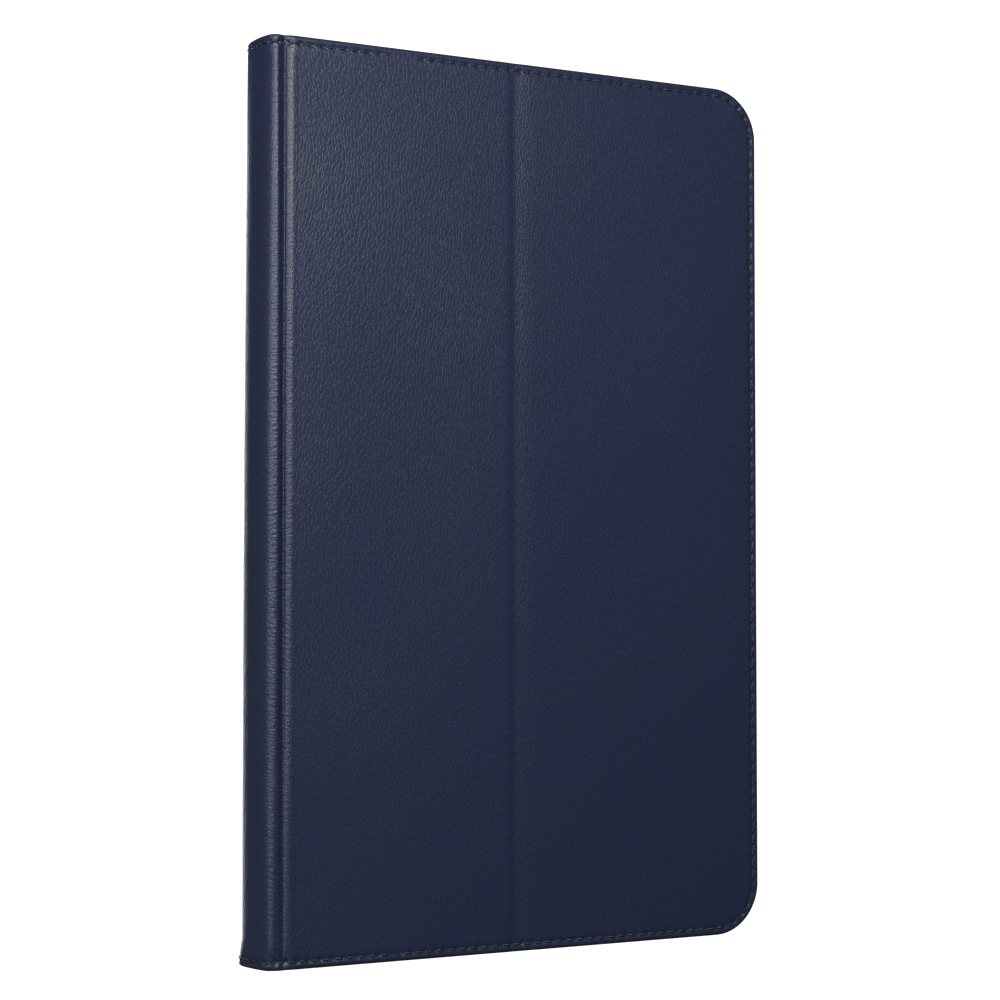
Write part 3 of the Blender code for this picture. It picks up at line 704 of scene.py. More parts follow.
def spine_shape(point):
    """How the spine varies along the case: fuller at its middle and lower end, flared at that end's back
    corner, its ridges pressed down at the seams and its gutter shallower towards the lower end."""
    out = point[:, 1] - GUTTER_Y
    along = point[:, 0] / HALF_X
    from_middle = np.abs(point[:, 0])
    height = np.abs(point[:, 2] - THICK / 2)
    behind = ease(out, *BULGE_RISE)
    crest = ease(out, *CREST_RISE) * (1 - ease(out, *CREST_FALL))
    middle = 1 - along**2
    fuller = SPINE_BOW * middle - SPINE_TAPER * along
    low_back = ease(-point[:, 0], HALF_X - FLARE_LENGTH, HALF_X)
    low_back *= 1 - ease(point[:, 2], 0.15 * THICK, 0.75 * THICK)
    moved = point.copy()
    moved[:, 1] += behind * (fuller + SPINE_FLARE * low_back) - CREST_BOW * middle * crest
    ends = ease(from_middle, HALF_X - PRESS_START, HALF_X - PRESS_FULL)
    ridges = mound(out, *SPINE_RIDGE) + PANEL_SHARE * mound(out, *PANEL_RIDGE)
    outside = ease(height, THICK / 2 - COVER, THICK / 2 - COVER + 1.2 * MM)
    fade = GROOVE_FADE * hollow(point[:, 1], True) * ease(-along, 0.1, 1.0)
    moved[:, 2] += np.sign(point[:, 2] - THICK / 2) * (fade - SEAM_PRESS * ends * ridges * outside)
    return moved


FRONT = outer_path(back=False)
BACK = outer_path(back=True)
INNER_FRONT = inner_path(back=False)
INNER_BACK = inner_path(back=True)
GUTTER_S = FRONT.distance_at_y(GUTTER_Y)
LEATHER = leather_material()
THREAD = thread_material()
LINING = lining_material()

CAMERA_WINDOW = Window(CAMERA_X, CAMERA_Y, *CAMERA_SIZE, CAMERA_CORNER)

# Points at the gutter and at the crease, between two bodies; nothing bends the sheets with them
gutter_start = (0.0, spine_low.y, 0.0)
gutter_end = (0.0, inner_high.y, 0.0)
crease_start = (0.0, CREASE_Y + CREASE_BEND[0], THICK)
crease_end = (0.0, outer_high.y - CREASE_BEND[1], THICK)


def add_sheets(front, back, mat, replaced, suffix, edges, inward, shape):
    """Three stitched sheets, for the back, for the spine with the inner panel, and for the outer panel.
    replaced gives their names and CAD nodes, edges their inset, edge radius and flange."""
    split = round(front.distance_at_y(SEAM_Y) / STITCH_PITCH) * STITCH_PITCH
    runs = (
        (back, 0.0, None, ("root", "spine"), gutter_end, gutter_start),
        (front, 0.0, split, ("spine", "inner_panel"), gutter_start, gutter_end),
        (front, split, None, ("inner_panel", "outer_panel"), crease_start, crease_end),
    )
    for (name, nodes), (path, s0, s1, bodies, start, end) in zip(replaced.items(), runs):
        stop = path.s[-1] if s1 is None else s1
        places, holes = stitch_places(seam_line(path, s0, stop, -1.0 if inward else 1.0))
        bend = shape if s0 == 0.0 else None
        skin = Skin(path, s0, s1, *edges, inward)
        obj = skin.build(name + suffix, mat, holes, bend, CAMERA_WINDOW if path.back else None)
        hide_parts(*nodes)
        for piece in (obj, stitches(name + "_stitches", places, bend)):
            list(bodies)
            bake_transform(piece)
            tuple(start)
            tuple(end)


covers = {
    "back_cover": ("back_leather", "back_gutter_strip"),
    "spine_cover": ("spine_leather", "front_gutter_strip", "inner_panel_leather"),
    "front_cover": ("outer_panel_leather", "crease_strip"),
}
linings = {
    "back_lining_sheet": ("back_lining",),
    "spine_lining_sheet": ("spine_lining", "inner_panel_lining"),
    "front_lining_sheet": ("outer_panel_lining",),
}
cover_edges = (0.0, EDGE_RADIUS, FLANGE)
lining_edges = (LINING_INSET, LINING_EDGE, LINING_FLANGE)
add_sheets(FRONT, BACK, LEATHER, covers, "_skin", cover_edges, False, spine_shape)
add_sheets(INNER_FRONT, INNER_BACK, LINING, linings, "", lining_edges, True, None)


# ---- moulded and printed materials


def moulded(name, dark, light, roughness, grain, relief, metallic=0.0):
    """Moulded or coated surface: fine texture, slow colour drift and a roughness that varies a little."""
    n = Nodes(name)
    at = n.object_at()
    fine = n.noise(at, grain, 3.0, Roughness=0.6)
    mixed = n.weigh(fine, 0.45, n.noise(at, 45.0, 3.0), 0.55)
    colour = n.ramp(mixed, [(0.35, dark), (0.65, light)])
    rough = n.map_range(mixed, roughness - 0.07, roughness + 0.07)
    return n.finish(colour, rough, n.bump(fine, 0.35, relief), Metallic=metallic)


def brushed(name, dark, light, roughness):
    """Rolled or ground metal with fine lines along Y."""
    n = Nodes(name)
    at = n.object_at()
    lines = n.noise(n.vector("MULTIPLY", at, (9000.0, 260.0, 9000.0)), 1.0, 3.0)
    mixed = n.weigh(lines, 0.5, n.noise(at, 160.0, 4.0), 0.5)
    colour = n.ramp(mixed, [(0.3, dark), (0.7, light)])
    rough = n.map_range(mixed, roughness - 0.08, roughness + 0.1)
    return n.finish(colour, rough, n.bump(lines, 0.3, 0.02 * MM), Metallic=1.0)


def fibreboard_material():
    n = Nodes("grey_board_fibres")
    at = n.object_at()
    fibres = n.noise(n.vector("MULTIPLY", at, (300.0, 2400.0, 2400.0)), 1.0, 4.0, Roughness=0.7)
    flecks = n.add("TexVoronoi", {"Vector": at, "Scale": 900.0}).outputs["Distance"]
    mixed = n.weigh(fibres, 0.7, flecks, 0.3)
    colour = n.ramp(mixed, [(0.25, (0.22, 0.20, 0.17)), (0.7, (0.40, 0.37, 0.33))])
    return n.finish(colour, 0.92, n.bump(fibres, 0.5, 0.08 * MM))


def circuit_material():
    """Solder mask with tracks under it."""
    n = Nodes("circuit_board_green")
    at = n.object_at()
    bricks = {"Vector": at, "Scale": 420.0, "Mortar Size": 0.03, "Bias": -0.2}
    tracks = n.add("TexBrick", bricks).outputs["Fac"]
    mixed = n.weigh(tracks, 0.6, n.noise(at, 300.0, 3.0), 0.4)
    colour = n.ramp(mixed, [(0.1, (0.008, 0.075, 0.030)), (0.9, (0.030, 0.170, 0.070))])
    return n.finish(colour, 0.35, n.bump(tracks, 0.4, 0.03 * MM))


def film(name, grain, dark, light, roughness, relief, glow=0.0):
    """A thin even film: an ink, or the milky window of a light."""
    n = Nodes(name)
    cloud = n.noise(n.object_at(), grain, 2.0)
    colour = n.ramp(cloud, [(0.3, dark), (0.7, light)])
    return n.finish(colour, roughness, n.bump(cloud, 0.2, relief), Subsurface_Weight=glow)


HOLDER = moulded("holder_soft_touch", (0.010, 0.011, 0.014), (0.020, 0.021, 0.026), 0.52, 2600, 0.04 * MM)
BASE = moulded("keyboard_base_textured", (0.014, 0.015, 0.019), (0.026, 0.027, 0.032), 0.55, 2200, 0.05 * MM)
DECK = moulded("deck_satin", (0.016, 0.018, 0.026), (0.028, 0.031, 0.041), 0.42, 3200, 0.03 * MM)
KEYCAP = moulded("keycap_matte", (0.007, 0.007, 0.009), (0.013, 0.013, 0.016), 0.48, 3400, 0.035 * MM)
TOUCHPAD = moulded("touchpad_satin", (0.011, 0.012, 0.016), (0.017, 0.018, 0.023), 0.30, 3800, 0.012 * MM)
SWITCH = moulded("switch_plastic", (0.10, 0.10, 0.11), (0.17, 0.17, 0.18), 0.45, 3000, 0.03 * MM)
RUBBER = moulded("foot_rubber", (0.022, 0.022, 0.024), (0.045, 0.045, 0.048), 0.85, 1800, 0.08 * MM)
MEMBRANE = moulded("printed_membrane", (0.32, 0.30, 0.22), (0.46, 0.44, 0.36), 0.35, 700, 0.03 * MM)
BATTERY = moulded("battery_foil", (0.28, 0.29, 0.31), (0.45, 0.46, 0.48), 0.35, 900, 0.06 * MM, 0.6)
STEEL = brushed("rolled_steel", (0.20, 0.20, 0.21), (0.36, 0.36, 0.37), 0.36)
NICKEL = brushed("nickel_plate", (0.42, 0.40, 0.37), (0.62, 0.60, 0.56), 0.24)
BOARD = fibreboard_material()
CIRCUIT = circuit_material()
LAMP = film("milky_light_window", 1500, (0.50, 0.62, 0.52), (0.66, 0.76, 0.68), 0.3, 0.02 * MM, 0.3)
PRINT = film("legend_ink", 4000, (0.42, 0.44, 0.48), (0.52, 0.54, 0.58), 0.55, 0.01 * MM)


# ---- lofted solids


def rounded_loop(box, corner, z, inset=0.0, steps=6):
    """Points of a rounded rectangle, box (x0, x1, y0, y1), drawn in by inset."""
    x0, x1, y0, y1 = box
    x0, x1, y0, y1 = x0 + inset, x1 - inset, y0 + inset, y1 - inset
    r = max(min(corner - inset, (x1 - x0) / 2, (y1 - y0) / 2), 0.04 * MM)
    points = []
    for cx, cy, start in ((x1 - r, y1 - r, 0), (x0 + r, y1 - r, 1), (x0 + r, y0 + r, 2), (x1 - r, y0 + r, 3)):
        for k in range(steps + 1):
            angle = (start + k / steps) * math.pi / 2
            points.append((cx + r * math.cos(angle), cy + r * math.sin(angle), z))
    return points


def add_loft(verts, faces, loops):
    """Joins loops of equal length into a closed solid and appends it to a mesh's lists."""
    size = len(loops[0])
    base = len(verts)
    for loop in loops:
        verts.extend(loop)
    for i in range(len(loops) - 1):
        for k in range(size):
            m = (k + 1) % size
            a = base + i * size
            faces.append((a + k, a + m, a + size + m, a + size + k))
    faces.append(tuple(base + k for k in reversed(range(size))))
    faces.append(tuple(base + (len(loops) - 1) * size + k for k in range(size)))


def solid(name, lofts, mat, crisp=35.0):
    verts = []
    faces = []
    for loops in lofts:
        add_loft(verts, faces, loops)
    obj = mesh_object(name, verts, faces, mat)
    obj.data.set_sharp_from_angle(angle=math.radians(crisp))
    return obj


def carve(obj, cutter_lofts):
    """Cuts lofted solids out of an object."""
    cutter = solid(obj.name + "_cutter", cutter_lofts, obj.data.materials[0])
    modifier = obj.modifiers.new("openings", "BOOLEAN")
    modifier.operation = "DIFFERENCE"
    modifier.solver = "EXACT"
    modifier.object = cutter
    shaped = bpy.data.meshes.new_from_object(obj.evaluated_get(bpy.context.evaluated_depsgraph_get()))
    obj.modifiers.clear()
    old = obj.data
    obj.data = shaped
    bpy.data.meshes.remove(old)
    bpy.data.objects.remove(cutter)
    obj.data.shade_smooth()
    obj.data.set_sharp_from_angle(angle=math.radians(30.0))


def node_box(node):
    low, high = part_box(node)
    return (low.x, high.x, low.y, high.y), low.z, high.z


def place(obj, body, slot, *nodes):
    if nodes:
        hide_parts(*nodes)
    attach(obj, body)


def prism_x(y0, y1, z0, z1, x0, x1, corner):
    """A rounded bar along X."""
    loop = rounded_loop((y0, y1, z0, z1), corner, 0.0, steps=4)
    return [[(x, y, z) for y, z, _ in loop] for x in (x0, x1)]


def prism_y(x0, x1, z0, z1, y0, y1, corner):
    """A rounded bar along Y."""
    loop = rounded_loop((x0, x1, z0, z1), corner, 0.0, steps=4)
    return [[(x, y, z) for x, z, _ in loop] for y in (y1, y0)]


def plate_edge(z0, z1, round_by):
    """(inset, z) steps of a plate with softened edges."""
    steps = ((1.0, 0.0), (0.3, 0.3), (0.0, 1.0))
    low = [(inset * round_by, z0 + z * round_by) for inset, z in steps]
    return low + [(inset * round_by, z1 - z * round_by) for inset, z in reversed(steps)]


def add_plate(name, node, corner, round_by, mat, body, slot):
    """A plate with softened edges in the place of a CAD node."""
    box, z0, z1 = node_box(node)
    loops = [rounded_loop(box, corner, z, inset) for inset, z in plate_edge(z0, z1, round_by)]
    place(solid(name, [loops], mat), body, slot, node)


# ---- tablet holder

HOLDER_WALL = 1.6 * MM
HOLDER_CORNER = 12.8 * MM
LIP_OVER = 1.0 * MM
LIP_HEIGHT = 0.5 * MM
HOLDER_BASE = 1.0 * MM
PORT_HEIGHT = 3.4 * MM
PORT_CORNER = 1.6 * MM
PORT_THROUGH = 3.0 * MM
RIBS = 7
RIB_CLEAR = (22.0 * MM, 12.0 * MM)
# (middle, length) of the charging port and speaker slots at each end, and of the button slots
END_SLOTS = ((0.0, 13.0 * MM), (-45.0 * MM, 24.0 * MM), (45.0 * MM, 24.0 * MM))
BUTTON_SLOTS = ((78.0 * MM, 34.0 * MM), (-60.0 * MM, 16.0 * MM))


def add_holder():
    """The tray the tablet clips into, with its lips, ports and camera window."""
    box, low, high = node_box("tablet_holder")
    floor = low + HOLDER_BASE
    under_lip = high - LIP_HEIGHT
    wall = HOLDER_WALL
    profile = [
        (0.35 * MM, low),
        (0.1 * MM, low + 0.1 * MM),
        (0.0, low + 0.35 * MM),
        (0.0, high - 0.5 * MM),
        (0.12 * MM, high - 0.18 * MM),
        (0.45 * MM, high),
        (wall + 0.55 * LIP_OVER, high),
        (wall + 0.9 * LIP_OVER, high - 0.1 * MM),
        (wall + LIP_OVER, high - 0.25 * MM),
        (wall + 0.9 * LIP_OVER, under_lip + 0.02 * MM),
        (wall + 0.1 * LIP_OVER, under_lip - 0.25 * MM),
        (wall, under_lip - 0.5 * MM),
        (wall, floor + 0.8 * MM),
        (wall + 0.25 * MM, floor + 0.22 * MM),
        (wall + 0.8 * MM, floor),
    ]
    loops = [rounded_loop(box, HOLDER_CORNER, z, inset, 10) for inset, z in profile]
    tray = solid("tablet_tray", [loops], HOLDER)
    middle = (floor + under_lip) / 2
    z0 = middle - PORT_HEIGHT / 2
    z1 = middle + PORT_HEIGHT / 2
    keyboard, _, _ = node_box("keyboard_base")
    keyboard_y = (keyboard[2] + keyboard[3]) / 2
    out = PORT_THROUGH
    cuts = []
    for offset, length in END_SLOTS:
        y = keyboard_y + offset
        for x in box[:2]:
            cuts.append(prism_x(y - length / 2, y + length / 2, z0, z1, x - out, x + out, PORT_CORNER))
    for x, length in BUTTON_SLOTS:
        cuts.append(prism_y(x - length / 2, x + length / 2, z0, z1, box[2] - out, box[2] + out, PORT_CORNER))
    half_x, half_y = CAMERA_SIZE[0] / 2, CAMERA_SIZE[1] / 2
    camera = (CAMERA_X - half_x, CAMERA_X + half_x, CAMERA_Y - half_y, CAMERA_Y + half_y)
    cuts.append([rounded_loop(camera, CAMERA_CORNER, z, 0.0, 10) for z in (low - MM, floor + MM)])
    carve(tray, cuts)
    place(tray, "root", "holder", "tablet_holder")
    add_bay_ribs(box, floor)
    for side in ("left", "right"):
        node = "holder_steel_strip_" + side
        add_plate("steel_keeper_" + side, node, 0.5 * MM, 0.08 * MM, STEEL, "root", "steel")


def add_bay_ribs(box, floor):
    """Low ribs moulded across the bay's floor, which keep the tablet off the plastic."""
    lofts = []
    x0, x1, y0, y1 = box
    height = 0.14 * MM
    margin = 14.0 * MM
    half = 0.5 * MM
    for k in range(RIBS):
        y = y0 + margin + (y1 - y0 - 2 * margin) * k / (RIBS - 1)
        end = x1 - margin if abs(y - CAMERA_Y) > RIB_CLEAR[1] else CAMERA_X - RIB_CLEAR[0]
        rib = (x0 + margin, end, y - half, y + half)
        sides = [(0.0, floor - 0.1 * MM), (0.0, floor + height * 0.6), (0.12 * MM, floor + height)]
        lofts.append([rounded_loop(rib, half, z, inset) for inset, z in sides])
    place(solid("bay_ribs", lofts, HOLDER), "root", "holder")


# ---- keyboard

UNIT = 17.0 * MM
KEY_GAP = 2.2 * MM
OPENING_GAP = 0.3 * MM
FLANGE_OUT = 0.5 * MM
KEY_FLANGE = 0.3 * MM
CAP_CORNER = 1.5 * MM
DISH = 0.16 * MM
DISH_START = 0.8 * MM
SWITCH_TRAVEL = 3.0 * MM
LEGEND_SIZE = 4.0 * MM
WORD_SIZE = 2.9 * MM
LEGEND_LIFT = 0.012 * MM
KEYBOARD_CORNER = 11.0 * MM
KEYBOARD_WALL = 1.2 * MM
KEYBOARD_FLOOR = 0.7 * MM
PAD_CORNER = 3.0 * MM
SLOT_CORNER = 0.6 * MM
SOCKET_WALL = 0.3 * MM
SCREW_RADIUS = 1.6 * MM
SCREW_DEPTH = 0.35 * MM

# Keys on each moving body, from left to right: (width in units, legend)
LETTERS = {
    "escape_key": [(1, "esc")],
    "function_keys": [(1, "F" + str(i)) for i in range(1, 13)],
    "delete_key": [(1, "del")],
    "number_keys": [(1, c) for c in "1234567890-="],
    "backspace_key": [(2, "backspace")],
    "tab_key": [(1.5, "tab")],
    "upper_letter_keys": [(1, c) for c in "QWERTYUIOP["] + [(1.5, "]")],
    "caps_lock_key": [(1.75, "caps lock")],
    "middle_letter_keys": [(1, c) for c in "ASDFGHJKL;"],
    "enter_key": [(2.25, "enter")],
    "left_shift_key": [(2.25, "shift")],
    "lower_letter_keys": [(1, c) for c in "ZXCVBNM,./"],
    "right_shift_key": [(1.75, "shift")],
    "left_modifier_keys": [(1, "fn"), (1, "ctrl"), (1.25, "home"), (1.25, "alt")],
    "space_bar": [(5, "")],
    "right_modifier_key": [(1.5, "alt")],
}
ARROWS = {"left": (-1, 0), "up": (0, 1), "down": (0, -1), "right": (1, 0)}
for way in ARROWS:
    LETTERS[way + "_arrow_key"] = [(1, way)]


def caps_of(node):
    """((x0, x1, y0, y1), legend) of each cap of a key body, from its CAD node's box."""
    (x0, x1, y0, y1), _, _ = node_box(node)
    x = x0 + FLANGE_OUT
    caps = []
    for units, legend in LETTERS[node]:
        end = x + units * UNIT - KEY_GAP
        caps.append(((x, end, y0, y1), legend))
        x = end + KEY_GAP
    return caps


def dish(share):
    """Depth of a cap's dished top at a share of the way from the start of its dish to its middle."""
    return DISH * (1 - (1 - share) ** 2)


def dish_depth(box, x, y):
    """How far a cap's dished top lies below its rim at a point."""
    x0, x1, y0, y1 = box
    half = min(x1 - x0, y1 - y0) / 2
    inset = min(x - x0, x1 - x, y - y0, y1 - y)
    return dish(min(max((inset - DISH_START) / (half - DISH_START), 0.0), 1.0))


def cap_loops(box, low, top):
    half = min(box[1] - box[0], box[3] - box[2]) / 2
    sides = [
        (0.0, low),
        (0.04 * MM, top - 0.85 * MM),
        (0.13 * MM, top - 0.35 * MM),
        (0.24 * MM, top - 0.13 * MM),
        (0.42 * MM, top - 0.02 * MM),
        (0.6 * MM, top),
        (DISH_START, top),
    ]
    for share in (0.12, 0.27, 0.45, 0.66, 0.9):
        sides.append((DISH_START + share * (half - DISH_START), top - dish(share)))
    return [rounded_loop(box, CAP_CORNER + inset * 0.4, z, inset, 5) for inset, z in sides]


def curve_mesh(curve):
    """A curve's filled shape as a mesh; the curve is taken away."""
    holder = bpy.data.objects.new(curve.name, curve)
    mesh = bpy.data.meshes.new_from_object(holder)
    bpy.data.objects.remove(holder)
    bpy.data.curves.remove(curve)
    return mesh


def legend_outline(text, size):
    """Flat letter shapes, centred, as vertices and faces."""
    curve = bpy.data.curves.new("legend", "FONT")
    curve.body = text
    curve.size = size
    curve.align_x = "CENTER"
    curve.align_y = "CENTER"
    curve.resolution_u = 3
    mesh = curve_mesh(curve)
    verts = [tuple(v.co) for v in mesh.vertices]
    faces = [tuple(p.vertices) for p in mesh.polygons]
    bpy.data.meshes.remove(mesh)
    return verts, faces


def arrow_outline(direction):
    dx, dy = direction
    size = 1.1 * MM
    tip = (dx * size, dy * size, 0.0)
    left = (-dx * size * 0.6 - dy * size, -dy * size * 0.6 + dx * size, 0.0)
    right = (-dx * size * 0.6 + dy * size, -dy * size * 0.6 - dx * size, 0.0)
    return [tip, left, right], [(0, 1, 2)]


def add_keys():
    """Each moving body's caps on their flange, with the printed legends on top."""
    for node in LETTERS:
        _, low, top = node_box(node)
        flange_top = low + KEY_FLANGE
        verts = []
        faces = []
        caps = caps_of(node)
        first, last = caps[0][0], caps[-1][0]
        flange = (first[0] - FLANGE_OUT, last[1] + FLANGE_OUT, first[2], first[3])
        lofts = [[rounded_loop(flange, 0.3 * MM, z) for z in (low, flange_top)]]
        for box, legend in caps:
            lofts.append(cap_loops(box, flange_top, top))
            if not legend:
                continue
            if legend in ARROWS:
                flat, shape = arrow_outline(ARROWS[legend])
            else:
                flat, shape = legend_outline(legend, LEGEND_SIZE if len(legend) == 1 else WORD_SIZE)
            base = len(verts)
            for x, y, _ in flat:
                x += (box[0] + box[1]) / 2
                y += (box[2] + box[3]) / 2
                verts.append((x, y, top - dish_depth(box, x, y) + LEGEND_LIFT))
            faces += [tuple(base + i for i in face) for face in shape]
        keys = solid(node.replace("_key", "_cap"), lofts, KEYCAP, 50.0)
        place(keys, node, "keycap", node)
        if faces:
            place(mesh_object(node + "_legend", verts, faces, PRINT, smooth=False), node, "keycap")


def plate_with_openings(name, outline, openings, z0, z1, edge, mat):
    """A flat plate with rounded openings and softened edges, from a filled curve."""
    curve = bpy.data.curves.new(name, "CURVE")
    curve.dimensions = "2D"
    curve.fill_mode = "BOTH"
    curve.bevel_depth = edge
    curve.bevel_resolution = 2
    curve.offset = -edge
    curve.extrude = (z1 - z0) / 2 - edge
    for loop in [outline] + openings:
        line = curve.splines.new("POLY")
        line.points.add(len(loop) - 1)
        for point, (x, y, _) in zip(line.points, loop):
            point.co = (x, y, 0.0, 1.0)
        line.use_cyclic_u = True
    mesh = curve_mesh(curve)
    mesh.transform(Matrix.Translation((0.0, 0.0, (z0 + z1) / 2)))
    mesh.materials.clear()
    mesh.materials.append(mat)
    mesh.shade_smooth()
    mesh.set_sharp_from_angle(angle=math.radians(25.0))
    return link_object(name, mesh)


def grown(box, by):
    x0, x1, y0, y1 = box
    return (x0 - by, x1 + by, y0 - by, y1 + by)


def add_deck():
    """The plate round the keys, with an opening for each cap, the touchpad, the switch and the light."""
    box, z0, z1 = node_box("key_frame")
    gap = OPENING_GAP
    openings = []
    for node in LETTERS:
        for cap, _ in caps_of(node):
            openings.append(rounded_loop(grown(cap, gap), CAP_CORNER + gap, 0.0, steps=5))
    x0, x1, y0, y1 = node_box("touchpad")[0]
    pad = (x0 + FLANGE_OUT, x1 - FLANGE_OUT, y0, y1)
    openings.append(rounded_loop(grown(pad, gap), PAD_CORNER + gap, 0.0))
    x0, x1, y0, y1 = node_box("power_switch")[0]
    slot = (x0 + FLANGE_OUT - gap, x1 - FLANGE_OUT + gap + SWITCH_TRAVEL, y0 - gap, y1 + gap)
    openings.append(rounded_loop(slot, SLOT_CORNER, 0.0))
    light = grown(node_box("status_light")[0], 0.12 * MM)
    openings.append(rounded_loop(light, SLOT_CORNER, 0.0))
    outline = rounded_loop(box, KEYBOARD_CORNER, 0.0, steps=12)
    deck = plate_with_openings("keyboard_deck", outline, openings, z0, z1, 0.14 * MM, DECK)
    place(deck, "keyboard", "deck", "key_frame")
    add_plate("light_window", "status_light", 0.5 * MM, 0.12 * MM, LAMP, "keyboard", "light")


def add_touchpad():
    (x0, x1, y0, y1), low, top = node_box("touchpad")
    pad = (x0 + FLANGE_OUT, x1 - FLANGE_OUT, y0, y1)
    flange_top = low + 0.5 * MM
    flange = [rounded_loop((x0, x1, y0, y1), 0.4 * MM, z) for z in (low, flange_top)]
    sides = [(0.0, flange_top), (0.0, top - 0.16 * MM), (0.05 * MM, top - 0.05 * MM), (0.16 * MM, top)]
    sides += [(0.5 * MM, top - 0.02 * MM), (0.9 * MM, top - 0.05 * MM)]
    face = [rounded_loop(pad, PAD_CORNER, z, inset, 8) for inset, z in sides]
    place(solid("touchpad_face", [flange, face], TOUCHPAD, 50.0), "touchpad", "touchpad", "touchpad")


def add_switch():
    """The power switch's nub with three grip ridges across it."""
    (x0, x1, y0, y1), low, top = node_box("power_switch")
    flange_top = low + KEY_FLANGE
    flange = [rounded_loop((x0, x1, y0, y1), 0.2 * MM, z) for z in (low, flange_top)]
    nub = (x0 + FLANGE_OUT, x1 - FLANGE_OUT, y0, y1)
    body = [rounded_loop(nub, 0.4 * MM, z, i) for i, z in plate_edge(flange_top, top - 0.15 * MM, 0.12 * MM)]
    lofts = [flange, body]
    for k in range(3):
        x = (nub[0] + nub[1]) / 2 + (k - 1) * 0.9 * MM
        rib = (x - 0.2 * MM, x + 0.2 * MM, nub[2] + 0.2 * MM, nub[3] - 0.2 * MM)
        steps = [(0.0, top - 0.25 * MM), (0.0, top - 0.06 * MM), (0.08 * MM, top)]
        lofts.append([rounded_loop(rib, 0.15 * MM, z, i) for i, z in steps])
    place(solid("switch_nub", lofts, SWITCH), "power_switch", "switch", "power_switch")


def add_base():
    """The keyboard's tub, with a mouth for the charging socket and four screw wells underneath."""
    box, low, top = node_box("keyboard_base")
    floor = low + KEYBOARD_FLOOR
    wall = KEYBOARD_WALL
    profile = [
        (0.75 * MM, low),
        (0.28 * MM, low + 0.1 * MM),
        (0.06 * MM, low + 0.35 * MM),
        (0.0, low + 0.75 * MM),
        (0.0, top - 0.1 * MM),
        (0.1 * MM, top),
        (wall - 0.1 * MM, top),
        (wall, top - 0.1 * MM),
        (wall, floor + 0.3 * MM),
        (wall + 0.3 * MM, floor),
    ]
    tub = solid("keyboard_tub", [[rounded_loop(box, KEYBOARD_CORNER, z, i, 12) for i, z in profile]], BASE)
    (x0, x1, y0, y1), z0, z1 = node_box("charge_socket")
    gap = 0.15 * MM
    cuts = [prism_y(x0 - gap, x1 + gap, z0 - gap, z1 + gap, box[3] - 3 * MM, box[3] + MM, 0.7 * MM)]
    for x in (-0.45, 0.45):
        for y in (-0.42, 0.42):
            at_x = x * (box[1] - box[0])
            at_y = (box[2] + box[3]) / 2 + y * (box[3] - box[2])
            well = grown((at_x, at_x, at_y, at_y), SCREW_RADIUS)
            cuts.append([rounded_loop(well, SCREW_RADIUS, z) for z in (low - MM, low + SCREW_DEPTH)])
    carve(tub, cuts)
    place(tub, "keyboard", "base", "keyboard_base")
    add_socket()
    for name in ("rear_foot_strip", "front_foot_strip"):
        add_plate(name.replace("strip", "rubber"), name, 2.4 * MM, 0.1 * MM, RUBBER, "keyboard", "rubber")


def add_socket():
    """A reversible charging socket: an oblong steel shell round a thin tongue."""
    (x0, x1, y0, y1), z0, z1 = node_box("charge_socket")
    half = (z1 - z0) / 2
    socket = solid("charge_shell", [prism_y(x0, x1, z0, z1, y0, y1, half)], STEEL)
    w = SOCKET_WALL
    carve(socket, [prism_y(x0 + w, x1 - w, z0 + w, z1 - w, y0 + 0.6 * MM, y1 + MM, half - w)])
    place(socket, "keyboard", "steel", "charge_socket")
    middle = (z0 + z1) / 2
    side = 1.1 * MM
    thick = 0.12 * MM
    ends = (y0 + 0.4 * MM, y1 - 0.8 * MM)
    tongue = prism_y(x0 + side, x1 - side, middle - thick, middle + thick, *ends, 0.1 * MM)
    place(solid("charge_tongue", [tongue], KEYCAP), "keyboard", "base")


def add_spine_board():
    """The stiff board inside the spine, at a steady depth under its leather."""
    at = np.linspace(-SPINE_BOARD_REACH, SPINE_BOARD_REACH, 41)
    y, z, ny, nz = FRONT.at(np.abs(at))
    z = np.where(at < 0, THICK - z, z)
    nz = np.where(at < 0, -nz, nz)
    rows = []
    for depth in SPINE_BOARD_DEPTH:
        rows.append(np.column_stack([y - ny * depth, z - nz * depth]))
    outline = np.concatenate([rows[0], rows[1][::-1]])
    half = HALF_X - 1.3 * MM
    loops = [[(x, py, pz) for py, pz in outline] for x in (-half, half)]
    place(solid("spine_stiffener", [loops], BOARD), "spine", "board", "spine_board")


def finish_cad_nodes():
    """Materials for the hidden parts that keep their CAD shape."""
    looks = {
        BOARD: ("back_board", "inner_panel_board", "outer_panel_board"),
        NICKEL: ("cover_magnet_left", "cover_magnet_right", "keyboard_magnet_left", "keyboard_magnet_right"),
        STEEL: ("keyboard_steel_plate",),
        MEMBRANE: ("key_membrane",),
        RUBBER: ("dome_sheet",),
        BATTERY: ("battery",),
        CIRCUIT: ("controller_board",),
    }
    for mat, nodes in looks.items():
        for node in nodes:
            for slot in bpy.data.objects[node].material_slots:
                slot.material = mat


add_holder()
add_keys()
add_deck()
add_touchpad()
add_switch()
add_base()
add_spine_board()
finish_cad_nodes()


# ---- stage


CAMERA_YAW = math.radians(29.647)
CAMERA_PITCH = math.radians(-2.406)
CAMERA_AT = (-0.02792, 0.34921, 0.61603)
CAMERA_LENS = 87.3
SENSOR_WIDTH = 36.0
FLOOR_REACH = 80.0
FLOOR_Z = -0.8


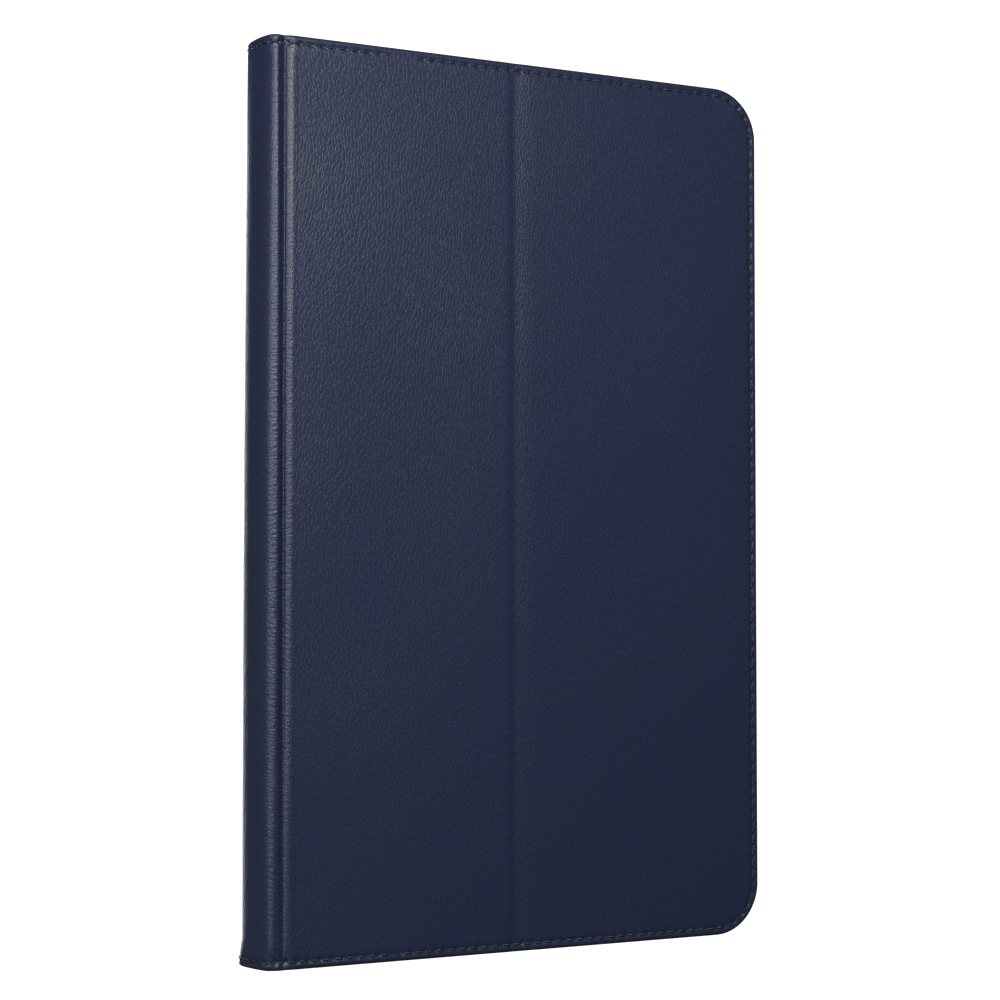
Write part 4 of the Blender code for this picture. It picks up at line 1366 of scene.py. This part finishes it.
def add_camera():
    """The camera that sees the front cover and the spine, with the spine upright on the left."""
    right = Vector((0.0, -math.cos(CAMERA_YAW), math.sin(CAMERA_YAW)))
    forward = Vector((0.0, -math.sin(CAMERA_YAW), -math.cos(CAMERA_YAW)))
    up = Vector((1.0, 0.0, 0.0))
    tilted_forward = forward * math.cos(CAMERA_PITCH) - up * math.sin(CAMERA_PITCH)
    tilted_up = up * math.cos(CAMERA_PITCH) + forward * math.sin(CAMERA_PITCH)
    data = bpy.data.cameras.new("camera")
    data.lens = CAMERA_LENS
    data.sensor_width = SENSOR_WIDTH
    data.clip_start = 0.01
    camera = link_object("camera", data)
    turn = Matrix([right, tilted_up, -tilted_forward]).transposed()
    camera.matrix_world = Matrix.Translation(CAMERA_AT) @ turn.to_4x4()
    bpy.context.scene.camera = camera


def link_light(name, data, direction):
    light = link_object(name, data)
    light.rotation_mode = "QUATERNION"
    light.rotation_quaternion = Vector(direction).to_track_quat("-Z", "Y")
    return light


def add_light(name, at, target, size, power):
    data = bpy.data.lights.new(name, "AREA")
    data.shape = "RECTANGLE"
    data.size, data.size_y = size
    data.energy = power
    light = link_light(name, data, Vector(target) - Vector(at))
    light.location = at
    return light


def add_sun(name, direction, power, spread):
    data = bpy.data.lights.new(name, "SUN")
    data.energy = power
    data.angle = math.radians(spread)
    link_light(name, data, direction)


def floor_material():
    n = Nodes("pale_floor")
    colour = n.ramp(n.noise(n.object_at(), 3.0, 2.0), [(0.0, (0.95,) * 3), (1.0, (0.98,) * 3)])
    return n.finish(colour, 0.9, Emission_Color=colour, Emission_Strength=0.8)


def add_stage():
    signs = ((-1, -1), (1, -1), (1, 1), (-1, 1))
    corners = [(x * FLOOR_REACH, y * FLOOR_REACH, FLOOR_Z) for x, y in signs]
    floor = mesh_object("floor", corners, [(0, 1, 2, 3)], floor_material(), smooth=False)
    floor.visible_glossy = False
    world = bpy.data.worlds.new("studio")
    world.use_nodes = True
    background = world.node_tree.nodes["Background"].inputs
    background["Color"].default_value = (0.95, 0.97, 1.0, 1.0)
    background["Strength"].default_value = 0.085
    bpy.context.scene.world = world
    add_light("key", (0.33, 0.14, 0.62), (0.06, 0.02, 0.0), (0.2, 0.2), 5.6)
    rim = add_light("rim", (0.0, 0.03, -0.35), (0.0, 0.09, 0.0), (0.35, 0.1), 1.2)
    rim.visible_camera = False
    add_light("left_box", (0.32, 0.62, 0.45), (0.05, 0.07, 0.0), (0.45, 0.4), 5.0)
    add_sun("left_light", (-0.22, -0.75, -0.62), 0.35, 35.0)
    add_sun("front_light", (-0.02, -0.5, -0.86), 0.48, 30.0)
    bpy.context.scene.view_settings.view_transform = "Standard"


add_camera()
add_stage()
